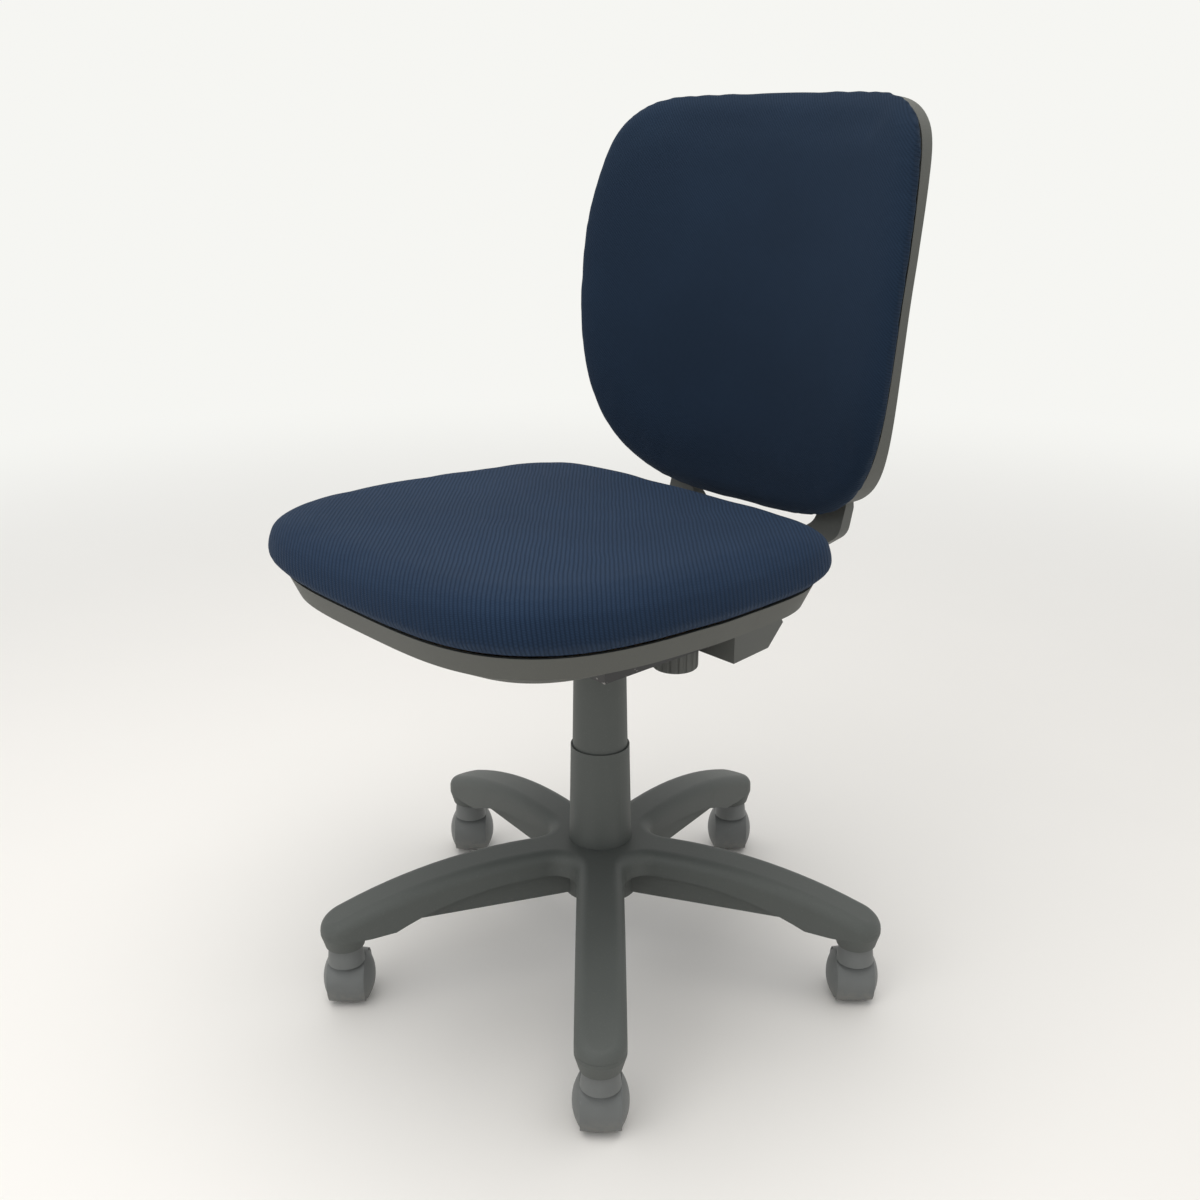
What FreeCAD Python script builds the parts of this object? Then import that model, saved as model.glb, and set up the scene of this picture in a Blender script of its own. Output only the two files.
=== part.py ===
"""Swivel office chair: five-leg base on casters, gas column, tilting back and padded seat.

Frame: +Z up, the sitter faces -Y and the sitter's left is +X.
The origin is on the floor, on the axis of the column. Lengths are in millimetres.
"""
import FreeCAD, Part
import math
import os
import re

from FreeCAD import Placement, Rotation, Vector
from Sketcher import Constraint

# ---------------------------------------------------------------- driving sizes

SIZES = {
    # five-leg base
    "legs": 5,
    "first_leg_angle": 48,
    "foot_reach": 276,
    "leg_width": 48,
    "leg_top": 147,
    "leg_flat_reach": 76,
    "leg_top_curve": 520,
    "skirt_height": 122,
    "skirt_flat_reach": 80,
    "skirt_curve": 320,
    "skirt_end_reach": 226,
    "web_width": 24,
    "web_floor": 91,
    "web_wall": 4,
    "leg_edge_round": 12,
    "leg_root_round": 24,
    "hub_radius": 40,
    "hub_floor": 88,
    "boss_floor": 70,
    "boss_shoulder": 84,
    "boss_radius": 20,
    "hollow_start": 62,
    "hollow_knee": 150,
    "hollow_end": 214,
    "hollow_end_rise": 12,
    "hollow_knee_rise": 4,
    "hollow_rise": 11,
    # casters
    "wheel_radius": 25,
    "wheel_inner_face": 9.2,
    "wheel_tread_end": 19.5,
    "wheel_dome_end": 26.5,
    "wheel_clearance": 0.9,
    "wheel_round": 1.5,
    "hood_radius": 28.4,
    "hood_crown": 1.3,
    "hood_half_width": 19,
    "hood_core_half": 8.8,
    "hood_floor": 6,
    "hood_neck_radius": 17,
    "hood_neck_floor": 25,
    "hood_neck_height": 18,
    "caster_trail": 10,
    "axle_radius": 3,
    "stem_radius": 5.5,
    "stem_foot": 37,
    "stem_top": 92,
    "stem_collar_radius": 9,
    "stem_collar_height": 2,
    # column
    "tube_radius": 25,
    "tube_wall": 2.5,
    "tube_floor_wall": 3,
    "tube_floor": 68,
    "tube_top": 246,
    "bush_length": 70,
    "bush_lip": 3,
    "bush_lip_inset": 0.5,
    "washer_height": 4,
    "washer_inset": 3,
    "cylinder_radius": 14,
    "cylinder_wall": 2,
    "cylinder_foot": 165,
    "cylinder_top": 352,
    "cylinder_taper": 0.8,
    "taper_length": 34,
    "gas_seal_length": 7,
    "gas_roof": 22,
    "valve_length": 18,
    "valve_guide_length": 23,
    "rod_radius": 5,
    "rod_foot": 60,
    "rod_port_gap": 1.2,
    "rod_collar": 4,
    "rod_collar_height": 5,
    "rod_neck_depth": 2,
    "rod_groove_depth": 0.8,
    "rod_clip_height": 2,
    "rod_clip_width": 6,
    "piston_floor": 234,
    "piston_length": 13.5,
    "valve_radius": 4,
    "valve_rise": 8,
    "valve_round": 1.5,
    "sleeve_foot_radius": 33,
    "sleeve_rim_radius": 30.7,
    "sleeve_rim": 255,
    "sleeve_wall": 1.6,
    "upper_sleeve_radius": 28.6,
    "upper_sleeve_neck": 27,
    "upper_sleeve_foot": 240,
    "upper_sleeve_taper_start": 263,
    "socket_radius": 20,
    "socket_grip_rise": 9,
    "socket_rim": 6,
    "socket_rim_height": 4,
    "sleeve_roof": 4,
    # seat mechanism
    "plate_thickness": 3,
    "channel_half_width": 45,
    "channel_floor": 345,
    "channel_front": 34,
    "channel_rear": 188,
    "flange_top": 417,
    "flange_half_width": 85,
    "flange_front": 72,
    "flange_rear": 120,
    "cover_half_width": 60,
    "cover_front": 136.5,
    "cover_floor": 324,
    "cover_heel_y": 191,
    "cover_heel_rise": 4,
    "cover_rear_y": 214,
    "cover_rear_rise": 28,
    "cover_lip_rise": 34,
    "cover_wall": 2.5,
    "pivot_y": 165,
    "pivot_z": 385,
    "pivot_radius": 6,
    "pivot_bush_wall": 3,
    "pivot_pin_end": 4,
    "pivot_clip_width": 3.5,
    "pivot_clip_thickness": 1.2,
    "pivot_groove_depth": 1,
    # recline tension
    "knob_y": 109,
    "knob_radius": 25,
    "knob_floor": 311,
    "knob_height": 27,
    "knob_ribs": 18,
    "knob_round": 3,
    "flute_radius": 2.6,
    "flute_offset": 1,
    "bolt_radius": 4,
    "bolt_hold": 6,
    "bolt_tail": 2,
    "bolt_collar": 4,
    "bolt_clearance": 1.5,
    "nut_floor": 405,
    "nut_height": 5,
    "nut_radius": 16,
    "spring_radius": 12.3,
    "spring_wire": 1.8,
    "spring_coils": 4,
    # height lever
    "lever_radius": 4,
    "lever_rise": 0.5,
    "lever_slot_gap": 3,
    "lever_inner_end": 8,
    "lever_pin_radius": 2.5,
    "ear_length": 12,
    "ear_thickness": 3,
    "ear_rise": 6,
    "lever_pivot_x": -34,
    "lever_end_x": -196,
    "handle_length": 74,
    "handle_width": 26,
    "handle_thickness": 11,
    "handle_overlap": 12,
    "handle_round": 3,
    # seat
    "seat_half_width": 218,
    "seat_centre_y": -43,
    "seat_front_depth": 240,
    "seat_rear_depth": 176,
    "seat_front_power": 3.5,
    "seat_rear_power": 5,
    "seat_taper": 0.06,
    "seat_slope": 1.8,
    "seam_height": 462,
    "rim_height": 22,
    "rim_lean": 9,
    "tray_inset": 62,
    "seat_bulge": 9,
    "seat_bulge_height": 18,
    "seat_pad_height": 44,
    "shell_wall": 3,
    "pan_thickness": 12,
    "pan_inset": 34,
    "pan_top": 453,
    "pan_foot_radius": 9,
    "arm_thread_depth": 22,
    "pad_gap": 0.3,
    "arm_hole_x": 135,
    "arm_hole_spacing": 100,
    "arm_hole_radius": 3,
    "arm_boss_radius": 8,
    "seat_bolt_x": 65,
    "seat_bolt_front": -50,
    "seat_bolt_rear": 50,
    "screw_radius": 3,
    "screw_head_radius": 5.5,
    "screw_head_height": 3.6,
    # back
    "back_half_width": 211,
    "back_height": 412,
    "back_wide_at": 273,
    "back_foot": 478,
    "back_top_power": 6.5,
    "back_foot_power": 3.3,
    "back_narrowing": 0.11,
    "back_front_y": 183,
    "back_lean": 3.1,
    "back_wrap": 36.6,
    "back_wrap_at": 200,
    "lumbar_depth": 21.8,
    "lumbar_at": 165,
    "pad_edge_depth": 23,
    "pad_middle_depth": 34,
    "shell_inset": 1.5,
    "shell_edge_depth": 35,
    "shell_middle_depth": 69,
    "back_pan_inset": 36,
    "back_pan_thickness": 8,
    "back_foot_radius": 11,
    "back_foot_length": 12,
    # yoke
    "yoke_root_half": 38,
    "yoke_boss_radius": 15,
    "yoke_bush_length": 20,
    "yoke_crotch_round": 16,
    "yoke_bend_round": 5,
    "arm_centre_x": 107,
    "arm_width": 34,
    "arm_depth": 13,
    "arm_front_y": 228,
    "arm_top": 640,
    "arm_bend_z": 492,
    "arm_thin_z": 520,
    "arm_thin_depth": 8.5,
    "root_rear_y": 197,
    "root_top_z": 391,
    "root_depth": 14,
    "tongue_front_y": 92,
    "tongue_floor": 360,
    "tongue_depth": 10,
    "tongue_hole_radius": 9.6,
    "back_bolt_low": 560,
    "back_bolt_high": 620,
    # fits
    "running_gap": 0.06,
    "press_gap": 0.02,
    "loose_gap": 0.3,
    "arc_margin": 0.001,
}

doc = FreeCAD.newDocument("office_chair")
sheet = doc.addObject("Spreadsheet::Sheet", "sizes")
for row, (alias, number) in enumerate(SIZES.items(), start=1):
    sheet.set(f"A{row}", alias)
    sheet.set(f"B{row}", str(number))
    sheet.setAlias(f"B{row}", alias)
doc.recompute()

X_AXIS = Vector(1, 0, 0)
Y_AXIS = Vector(0, 1, 0)
Z_AXIS = Vector(0, 0, 1)
ORIGIN = Vector(0, 0, 0)
ALONG = {"X": Rotation(Y_AXIS, 90), "Y": Rotation(X_AXIS, -90), "Z": Rotation()}
PLANES = {"XY": Rotation(), "XZ": Rotation(X_AXIS, 90), "YZ": Rotation(Vector(1, 1, 1), 120)}

nodes = []

# ---------------------------------------------------------------- helpers


def formula(text):
    """The text with each size's name pointing at its cell in the sheet."""
    return re.sub(r"[a-z]\w*", lambda m: "sizes." + m[0] if m[0] in SIZES else m[0], str(text))


def size(text):
    """The value of a formula on the sheet's sizes."""
    return float(sheet.evalExpression(formula(text)))


def bind(item, **formulas):
    for prop, text in formulas.items():
        item.setExpression(prop, formula(text))


def place(item, x=0, y=0, z=0, along="Z"):
    item.Placement = Placement(Vector(size(x), size(y), size(z)), ALONG[along])
    for letter, text in zip("xyz", (x, y, z)):
        item.setExpression("Placement.Base." + letter, formula(text))
    return item


def node(item, name):
    """Names an object as one of the chair's pieces."""
    item.Label = name
    nodes.append(item)
    return item


def cylinder(name, radius, height, x=0, y=0, z=0, along="Z"):
    item = doc.addObject("Part::Cylinder", name)
    bind(item, Radius=radius, Height=height)
    return place(item, x, y, z, along)


def cone(name, radius_low, radius_high, height, x=0, y=0, z=0):
    item = doc.addObject("Part::Cone", name)
    bind(item, Radius1=radius_low, Radius2=radius_high, Height=height)
    return place(item, x, y, z)


def box(name, length, width, height, x=0, y=0, z=0):
    """A box whose length, width and height run along X, Y and Z from its lowest corner."""
    item = doc.addObject("Part::Box", name)
    bind(item, Length=length, Width=width, Height=height)
    return place(item, x, y, z)


def fuse(name, shapes):
    item = doc.addObject("Part::MultiFuse", name)
    item.Shapes = shapes
    item.Refine = True
    return item


def cut(name, base, tools):
    item = doc.addObject("Part::Cut", name)
    item.Base = base
    item.Tool = tools[0] if len(tools) == 1 else fuse(name + "_cutters", tools)
    return item


def common(name, first, second):
    item = doc.addObject("Part::Common", name)
    item.Base = first
    item.Tool = second
    return item


def group(name, shapes):
    item = doc.addObject("Part::Compound", name)
    item.Links = shapes
    return item


def copy_of(name, source, placement):
    """A copy that follows its source's shape and stands at its own placement."""
    item = group(name, [source])
    item.Placement = placement
    return item


def arc_centre(start, end, radius):
    """Centre of the arc from start to end: a positive radius turns left, a negative one right."""
    chord = end - start
    rise = math.sqrt(max(radius * radius - chord.Length ** 2 / 4, 0))
    side = Vector(-chord.y, chord.x, 0).normalize()
    return (start + end) / 2 + side * math.copysign(rise, radius)


def outline(name, plane, corners):
    """A closed sketch. A corner is (x, y), or (x, y, radius) where an arc arrives at it."""
    item = doc.addObject("Sketcher::SketchObject", name)
    item.Placement = Placement(ORIGIN, PLANES[plane])
    points = [Vector(size(corner[0]), size(corner[1]), 0) for corner in corners]
    heads = []
    tails = []
    for index, corner in enumerate(corners):
        start, end = points[index - 1], points[index]
        if len(corner) == 2:
            item.addGeometry(Part.LineSegment(start, end), False)
            heads.append(1)
            tails.append(2)
            continue
        radius = size(corner[2])
        centre = arc_centre(start, end, radius)
        first, last = (start, end) if radius > 0 else (end, start)
        angles = [math.atan2(p.y - centre.y, p.x - centre.x) for p in (first, last)]
        circle = Part.Circle(centre, Z_AXIS, abs(radius))
        item.addGeometry(Part.ArcOfCircle(circle, angles[0], angles[1]), False)
        heads.append(1 if radius > 0 else 2)
        tails.append(2 if radius > 0 else 1)
    for index, corner in enumerate(corners):
        after = (index + 1) % len(corners)
        item.addConstraint(Constraint("Coincident", index, tails[index], after, heads[after]))
        for kind, axis, text in (("DistanceX", -2, corner[0]), ("DistanceY", -1, corner[1])):
            if str(text) == "0":
                item.addConstraint(Constraint("PointOnObject", index, tails[index], axis))
                continue
            number = item.addConstraint(Constraint(kind, -1, 1, index, tails[index], size(text)))
            item.setExpression(f"Constraints[{number}]", formula(text))
        if len(corner) == 3:
            number = item.addConstraint(Constraint("Radius", index, abs(size(corner[2]))))
            item.setExpression(f"Constraints[{number}]", formula(f"abs({corner[2]})"))
    return item


def extrude(name, profile, direction, length, start=None):
    """A solid drawn out of a profile, half of its length to each side unless start is given."""
    item = doc.addObject("Part::Extrusion", name)
    item.Base = profile
    item.DirMode = "Custom"
    item.Dir = direction
    item.Solid = True
    if start is None:
        bind(item, LengthFwd=f"({length})/2", LengthRev=f"({length})/2")
    else:
        bind(item, LengthFwd=f"({start})+({length})", LengthRev=f"-({start})")
    return item


def turned(name, corners, along="Z"):
    """A solid of revolution; corners are (radius, distance along the axis)."""
    item = doc.addObject("Part::Revolution", name)
    item.Source = outline(name + "_profile", "XZ", corners)
    item.Axis = Z_AXIS
    item.Angle = 360
    item.Solid = True
    item.Placement = Placement(ORIGIN, ALONG[along])
    return item


def edges_of(item, wanted):
    """Numbers of the edges of a recomputed object for which wanted(edge) is true."""
    doc.recompute()
    return [number for number, edge in enumerate(item.Shape.Edges, start=1) if wanted(edge)]


def fillet(name, base, radius, wanted):
    item = doc.addObject("Part::Fillet", name)
    item.Base = base
    width = size(radius)
    item.Edges = [(number, width, width) for number in edges_of(base, wanted)]
    return item


def shaped(name, shape, placement=None):
    """An object whose shape this script works out from the sheet's sizes."""
    item = doc.addObject("Part::Feature", name)
    item.Shape = shape
    if placement:
        item.Placement = placement
    return item


def middle(edge):
    return edge.valueAt((edge.FirstParameter + edge.LastParameter) / 2)


def runs_along(edge, axis):
    """True for a straight edge along an axis."""
    if edge.Curve.TypeId != "Part::GeomLine":
        return False
    return abs(abs(edge.Curve.Direction.dot(axis)) - 1) < 1e-6


def leg_angle(index):
    """Angle of a leg from -Y towards +X, in degrees."""
    return size("first_leg_angle") + index * 360 / size("legs")


def foot_place(index):
    """Where the stem of a leg's caster stands."""
    angle = math.radians(leg_angle(index))
    reach = size("foot_reach")
    return Vector(reach * math.sin(angle), -reach * math.cos(angle), 0)


LEG_COUNT = int(size("legs"))

# ---------------------------------------------------------------- five-leg base

# One leg along +X: its side outline, cut to a round-ended plan.
leg_end = "foot_reach+leg_width/2"
leg_side = outline("leg_side", "XZ", [
    (0, "leg_top"),
    (0, "skirt_height"),
    ("skirt_flat_reach", "skirt_height"),
    ("skirt_end_reach",
     "skirt_height-skirt_curve+sqrt(skirt_curve^2-(skirt_end_reach-skirt_flat_reach)^2)",
     "-skirt_curve"),
    ("foot_reach-leg_width/2", "boss_shoulder"),
    (leg_end, "boss_shoulder"),
    (leg_end, "leg_top-leg_top_curve+sqrt(leg_top_curve^2-(foot_reach+leg_width/2-leg_flat_reach)^2)"),
    ("leg_flat_reach", "leg_top", "leg_top_curve"),
])
leg_plan = outline("leg_plan", "XY", [
    (0, "-leg_width/2"),
    ("foot_reach", "-leg_width/2"),
    ("foot_reach", "leg_width/2", "leg_width/2+arc_margin"),
    (0, "leg_width/2"),
])
leg_blank = common(
    "leg_blank",
    extrude("leg_side_block", leg_side, Y_AXIS, "leg_width+2"),
    extrude("leg_plan_block", leg_plan, Z_AXIS, "leg_top+1", start=0),
)
leg_turns = [Placement(ORIGIN, Rotation(Z_AXIS, leg_angle(index) - 90)) for index in range(LEG_COUNT)]
star_blank = fuse(
    "star_blank",
    [copy_of(f"leg_cap_{k}", leg_blank, turn) for k, turn in enumerate(leg_turns)],
)
star_rooted = fillet(
    "star_rooted", star_blank, "leg_root_round",
    lambda edge: runs_along(edge, Z_AXIS)
    and math.hypot(middle(edge).x, middle(edge).y) < size("leg_width"),
)


def on_leg_top(edge):
    """True for an edge of the star's upper surface that follows its outline."""
    if runs_along(edge, Z_AXIS):
        return False
    low = size("skirt_height+1")
    ends = [edge.valueAt(edge.FirstParameter), middle(edge), edge.valueAt(edge.LastParameter)]
    for point in ends:
        reach = math.hypot(point.x, point.y)
        fall = max(reach - size("leg_flat_reach"), 0)
        top = size("leg_top-leg_top_curve") + math.sqrt(size("leg_top_curve") ** 2 - fall ** 2)
        if abs(point.z - top) > 3 or (reach < size("leg_flat_reach") and point.z < low):
            return False
    return True


star_cap = fillet("star_cap", star_rooted, "leg_edge_round", on_leg_top)

leg_web = box("leg_web", "skirt_end_reach-web_width", "web_width", "skirt_height-web_floor+1",
              x="web_width", y="-web_width/2", z="web_floor")
leg_boss = cone("leg_boss", "boss_radius", "leg_width/2", "boss_shoulder-boss_floor", x="foot_reach",
                z="boss_floor")
leg_foot = cylinder("leg_foot", "leg_width/2", "web_wall", x="foot_reach", z="boss_shoulder")
leg_under = outline("leg_under", "XZ", [
    ("hollow_start", "web_floor-1"),
    ("hollow_end", "web_floor-1"),
    ("hollow_end", "web_floor+hollow_end_rise"),
    ("hollow_knee", "skirt_height+hollow_knee_rise"),
    ("hollow_start", "skirt_height+hollow_rise"),
])
leg_hollow = extrude("leg_hollow", leg_under, Y_AXIS, "web_width-2*web_wall")
stem_socket = cylinder("stem_socket", "stem_radius+press_gap", "stem_top-boss_floor", x="foot_reach",
                       z="boss_floor")
star_parts = [star_cap, cylinder("hub_skirt", "hub_radius", "skirt_height-hub_floor+1", z="hub_floor")]
star_cutters = [cylinder("hub_bore", "tube_radius+press_gap", "leg_top", z=0)]
for k, turn in enumerate(leg_turns):
    star_parts += [copy_of(f"leg_web_{k}", leg_web, turn), copy_of(f"leg_boss_{k}", leg_boss, turn)]
    star_parts.append(copy_of(f"leg_foot_{k}", leg_foot, turn))
    star_cutters += [copy_of(f"leg_hollow_{k}", leg_hollow, turn),
                     copy_of(f"stem_socket_{k}", stem_socket, turn)]
node(cut("star_base", fuse("star_solid", star_parts), star_cutters), "star_base")

# ---------------------------------------------------------------- casters

stem_pin = fuse("stem_pin", [
    cylinder("stem_shank", "stem_radius", "stem_top-stem_foot", z="stem_foot"),
    cylinder("stem_collar", "stem_collar_radius", "stem_collar_height-loose_gap",
             z="boss_floor-stem_collar_height"),
])
stems = [copy_of(f"stem_{k}", stem_pin, Placement(foot_place(k), Rotation())) for k in range(LEG_COUNT)]
node(group("caster_stems", stems), "caster_stems")

# A caster in its own frame: the stem stands on the origin, the axle runs along X.
crown = "hood_radius-hood_crown"
crown_arc = "(hood_half_width^2+hood_crown^2)/(2*hood_crown)"
hood_drum = turned("hood_drum", [
    (0, "-hood_half_width"),
    (crown, "-hood_half_width"),
    (crown, "hood_half_width", crown_arc),
    (0, "hood_half_width"),
], along="X")
hood_neck = cone("hood_neck", "hood_half_width", "hood_neck_radius", "hood_neck_height",
                 y="-caster_trail", z="hood_neck_floor")
wheel_pit = "wheel_radius+wheel_clearance"
pit_length = "hood_half_width-hood_core_half+2"
pit_left = cylinder("pit_left", wheel_pit, pit_length, x="hood_core_half", along="X")
pit_right = cylinder("pit_right", wheel_pit, pit_length, x="-hood_half_width-2", along="X")
hood_length = "2*hood_half_width+4"
mouth_under = box("mouth_under", hood_length, "4*hood_radius", "hood_radius",
                  x="-hood_half_width-2", y="-2*hood_radius", z="hood_floor-wheel_radius-hood_radius")
mouth_rear = box("mouth_rear", hood_length, "2*hood_radius", "2*hood_radius",
                 x="-hood_half_width-2", y="caster_trail", z="-2*hood_radius-2")
hood_blank = cut("hood_blank", fuse("hood_solid", [hood_drum, hood_neck]), [
    pit_left, pit_right, mouth_under, mouth_rear,
    cylinder("hood_socket", "stem_radius+running_gap", "3*hood_radius", y="-caster_trail",
             z="stem_foot-wheel_radius-1"),
    cylinder("axle_hole", "axle_radius+press_gap", hood_length, x="-hood_half_width-2", along="X"),
])
axle_blank = cylinder("axle_blank", "axle_radius", "2*hood_half_width", x="-hood_half_width", along="X")
dome_rise = "(wheel_dome_end-wheel_tread_end)"
dome_arc = f"((wheel_radius-wheel_round)^2+{dome_rise}^2)/(2*{dome_rise})"
wheel_profile = [
    ("axle_radius+running_gap", "wheel_inner_face"),
    ("wheel_radius-wheel_round", "wheel_inner_face"),
    ("wheel_radius", "wheel_inner_face+wheel_round", "wheel_round+arc_margin"),
    ("wheel_radius", "wheel_tread_end-wheel_round"),
    ("wheel_radius-wheel_round", "wheel_tread_end", "wheel_round+arc_margin"),
    (0, "wheel_dome_end", dome_arc),
    (0, "hood_half_width+loose_gap"),
    ("axle_radius+running_gap", "hood_half_width+loose_gap"),
]
wheel_left = turned("wheel_left_blank", wheel_profile, along="X")
wheel_right = copy_of("wheel_right_blank", wheel_left, Placement(ORIGIN, Rotation(Z_AXIS, 180)))
hub_height = Vector(0, size("caster_trail"), size("wheel_radius"))
heading = Rotation(Z_AXIS, size("first_leg_angle"))
for k in range(LEG_COUNT):
    rolled = Placement(foot_place(k), heading).multiply(Placement(hub_height, Rotation()))
    for name, blank in (("hood", hood_blank), ("axle", axle_blank),
                        ("wheel_left", wheel_left), ("wheel_right", wheel_right)):
        node(copy_of(f"caster_{name}_{k + 1}", blank, rolled), f"caster_{name}_{k + 1}")

# ---------------------------------------------------------------- column

tube_inside = "tube_radius-tube_wall"
rod_hole = "rod_radius+rod_port_gap"
tube_seat = "tube_floor+tube_floor_wall"
node(turned("column_tube", [
    (rod_hole, "tube_floor"),
    ("tube_radius", "tube_floor"),
    ("tube_radius", "tube_top"),
    (tube_inside, "tube_top"),
    (tube_inside, tube_seat),
    (rod_hole, tube_seat),
]), "column_tube")
bush_bore = "cylinder_radius+running_gap"
node(turned("guide_bush", [
    (bush_bore, "tube_top-bush_length"),
    ("tube_radius-tube_wall-press_gap", "tube_top-bush_length"),
    ("tube_radius-tube_wall-press_gap", "tube_top"),
    ("tube_radius-bush_lip_inset", "tube_top"),
    ("tube_radius-bush_lip_inset", "tube_top+bush_lip"),
    (bush_bore, "tube_top+bush_lip"),
]), "guide_bush")
washer_edge = "tube_radius-tube_wall-washer_inset"
washer_top = f"{tube_seat}+washer_height"
node(turned("bearing_washer", [
    ("rod_radius+running_gap", tube_seat),
    (washer_edge, tube_seat),
    (washer_edge, washer_top),
    ("rod_radius+running_gap", washer_top),
]), "bearing_washer")
node(turned("lower_sleeve", [
    ("sleeve_foot_radius-sleeve_wall", "leg_top"),
    ("sleeve_foot_radius", "leg_top"),
    ("sleeve_rim_radius", "sleeve_rim"),
    ("sleeve_rim_radius-sleeve_wall", "sleeve_rim"),
]), "lower_sleeve")
groove = "rod_radius-rod_groove_depth"
clip_floor = "tube_floor-loose_gap-rod_clip_height"
node(turned("piston_rod", [
    (0, "rod_foot"),
    ("rod_radius", "rod_foot"),
    ("rod_radius", clip_floor),
    (groove, clip_floor),
    (groove, "tube_floor-loose_gap"),
    ("rod_radius", "tube_floor-loose_gap"),
    ("rod_radius", washer_top),
    ("rod_radius+rod_collar", washer_top),
    ("rod_radius+rod_collar", f"{washer_top}+rod_collar_height"),
    ("rod_radius", f"{washer_top}+rod_collar_height"),
    ("rod_radius", "piston_floor"),
    ("rod_radius-rod_neck_depth", "piston_floor"),
    ("rod_radius-rod_neck_depth", "piston_floor+piston_length"),
    (0, "piston_floor+piston_length"),
]), "piston_rod")
node(turned("rod_clip", [
    (groove, clip_floor),
    ("rod_radius+rod_clip_width", clip_floor),
    ("rod_radius+rod_clip_width", "tube_floor-loose_gap"),
    (groove, "tube_floor-loose_gap"),
]), "rod_clip")
cylinder_bore = "cylinder_radius-cylinder_wall"
node(turned("piston", [
    ("rod_radius-rod_neck_depth", "piston_floor"),
    (f"{cylinder_bore}-running_gap", "piston_floor"),
    (f"{cylinder_bore}-running_gap", "piston_floor+piston_length"),
    ("rod_radius-rod_neck_depth", "piston_floor+piston_length"),
]), "piston")
valve_bore = "valve_radius+running_gap"
gas_body = turned("gas_body", [
    (0, "cylinder_foot"),
    ("cylinder_radius", "cylinder_foot"),
    ("cylinder_radius", "cylinder_top-taper_length"),
    ("cylinder_radius-cylinder_taper", "cylinder_top"),
    (0, "cylinder_top"),
])
node(cut("gas_cylinder", gas_body, [
    cylinder("gas_room", cylinder_bore, "cylinder_top-gas_roof-cylinder_foot-gas_seal_length",
             z="cylinder_foot+gas_seal_length"),
    cylinder("gas_seal", "rod_radius+running_gap", "gas_seal_length+2", z="cylinder_foot-1"),
    cylinder("valve_guide", valve_bore, "valve_guide_length+1", z="cylinder_top-valve_guide_length"),
]), "gas_cylinder")
node(turned("valve_pin", [
    (0, "cylinder_top-valve_length"),
    ("valve_radius", "cylinder_top-valve_length"),
    ("valve_radius", "cylinder_top+valve_rise-valve_round"),
    ("valve_radius-valve_round", "cylinder_top+valve_rise"),
    (0, "cylinder_top+valve_rise"),
]), "valve_pin")
sleeve_roof_floor = "channel_floor-sleeve_roof"
node(turned("upper_sleeve", [
    ("upper_sleeve_radius-sleeve_wall", "upper_sleeve_foot"),
    ("upper_sleeve_radius", "upper_sleeve_foot"),
    ("upper_sleeve_radius", "upper_sleeve_taper_start"),
    ("upper_sleeve_neck", "channel_floor"),
    ("socket_radius+press_gap", "channel_floor"),
    ("socket_radius+press_gap", sleeve_roof_floor),
    ("upper_sleeve_neck-sleeve_wall", sleeve_roof_floor),
    ("upper_sleeve_radius-sleeve_wall", "upper_sleeve_taper_start"),
]), "upper_sleeve")
socket_low = "cylinder_top-taper_length+socket_grip_rise"
socket_mouth = "cylinder_radius-cylinder_taper*socket_grip_rise/taper_length+press_gap"
socket_seat = "channel_floor+plate_thickness"
node(turned("column_socket", [
    (socket_mouth, socket_low),
    ("socket_radius", socket_low),
    ("socket_radius", socket_seat),
    ("socket_radius+socket_rim", socket_seat),
    ("socket_radius+socket_rim", f"{socket_seat}+socket_rim_height"),
    ("cylinder_radius-cylinder_taper+press_gap", f"{socket_seat}+socket_rim_height"),
]), "column_socket")

# ---------------------------------------------------------------- seat mechanism

lever_z = "cylinder_top+valve_rise+lever_radius+lever_rise"
channel_length = "channel_front+channel_rear"
channel_block = fuse("channel_block", [
    box("channel_outside", "2*channel_half_width", channel_length, "flange_top-channel_floor",
        x="-channel_half_width", y="-channel_front", z="channel_floor"),
    box("flange", "2*flange_half_width", "flange_front+flange_rear", "plate_thickness",
        x="-flange_half_width", y="-flange_front", z="flange_top-plate_thickness"),
])
seat_bolt_places = [(sign + "seat_bolt_x", y) for sign in ("", "-")
                    for y in ("seat_bolt_front", "seat_bolt_rear")]
channel_cutters = [
    box("channel_inside", "2*(channel_half_width-plate_thickness)", channel_length,
        "flange_top-channel_floor", x="-channel_half_width+plate_thickness",
        y="-channel_front+plate_thickness", z="channel_floor+plate_thickness"),
    cylinder("socket_hole", "socket_radius+press_gap", 10, z="channel_floor-3"),
    cylinder("tension_hole", "bolt_radius+bolt_clearance", 10, y="knob_y", z="channel_floor-3"),
    cylinder("pivot_hole", "pivot_radius+press_gap", "2*channel_half_width+4", y="pivot_y",
             z="pivot_z", x="-channel_half_width-2", along="X"),
    cylinder("lever_slot", "lever_radius+lever_slot_gap", "plate_thickness+4", x="-channel_half_width-2",
             z=lever_z, along="X"),
]
for k, (x, y) in enumerate(seat_bolt_places):
    channel_cutters.append(cylinder(f"flange_hole_{k}", "screw_radius+loose_gap", 10, x, y, "flange_top-6"))
node(cut("mechanism_plate", channel_block, channel_cutters), "mechanism_plate")


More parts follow.
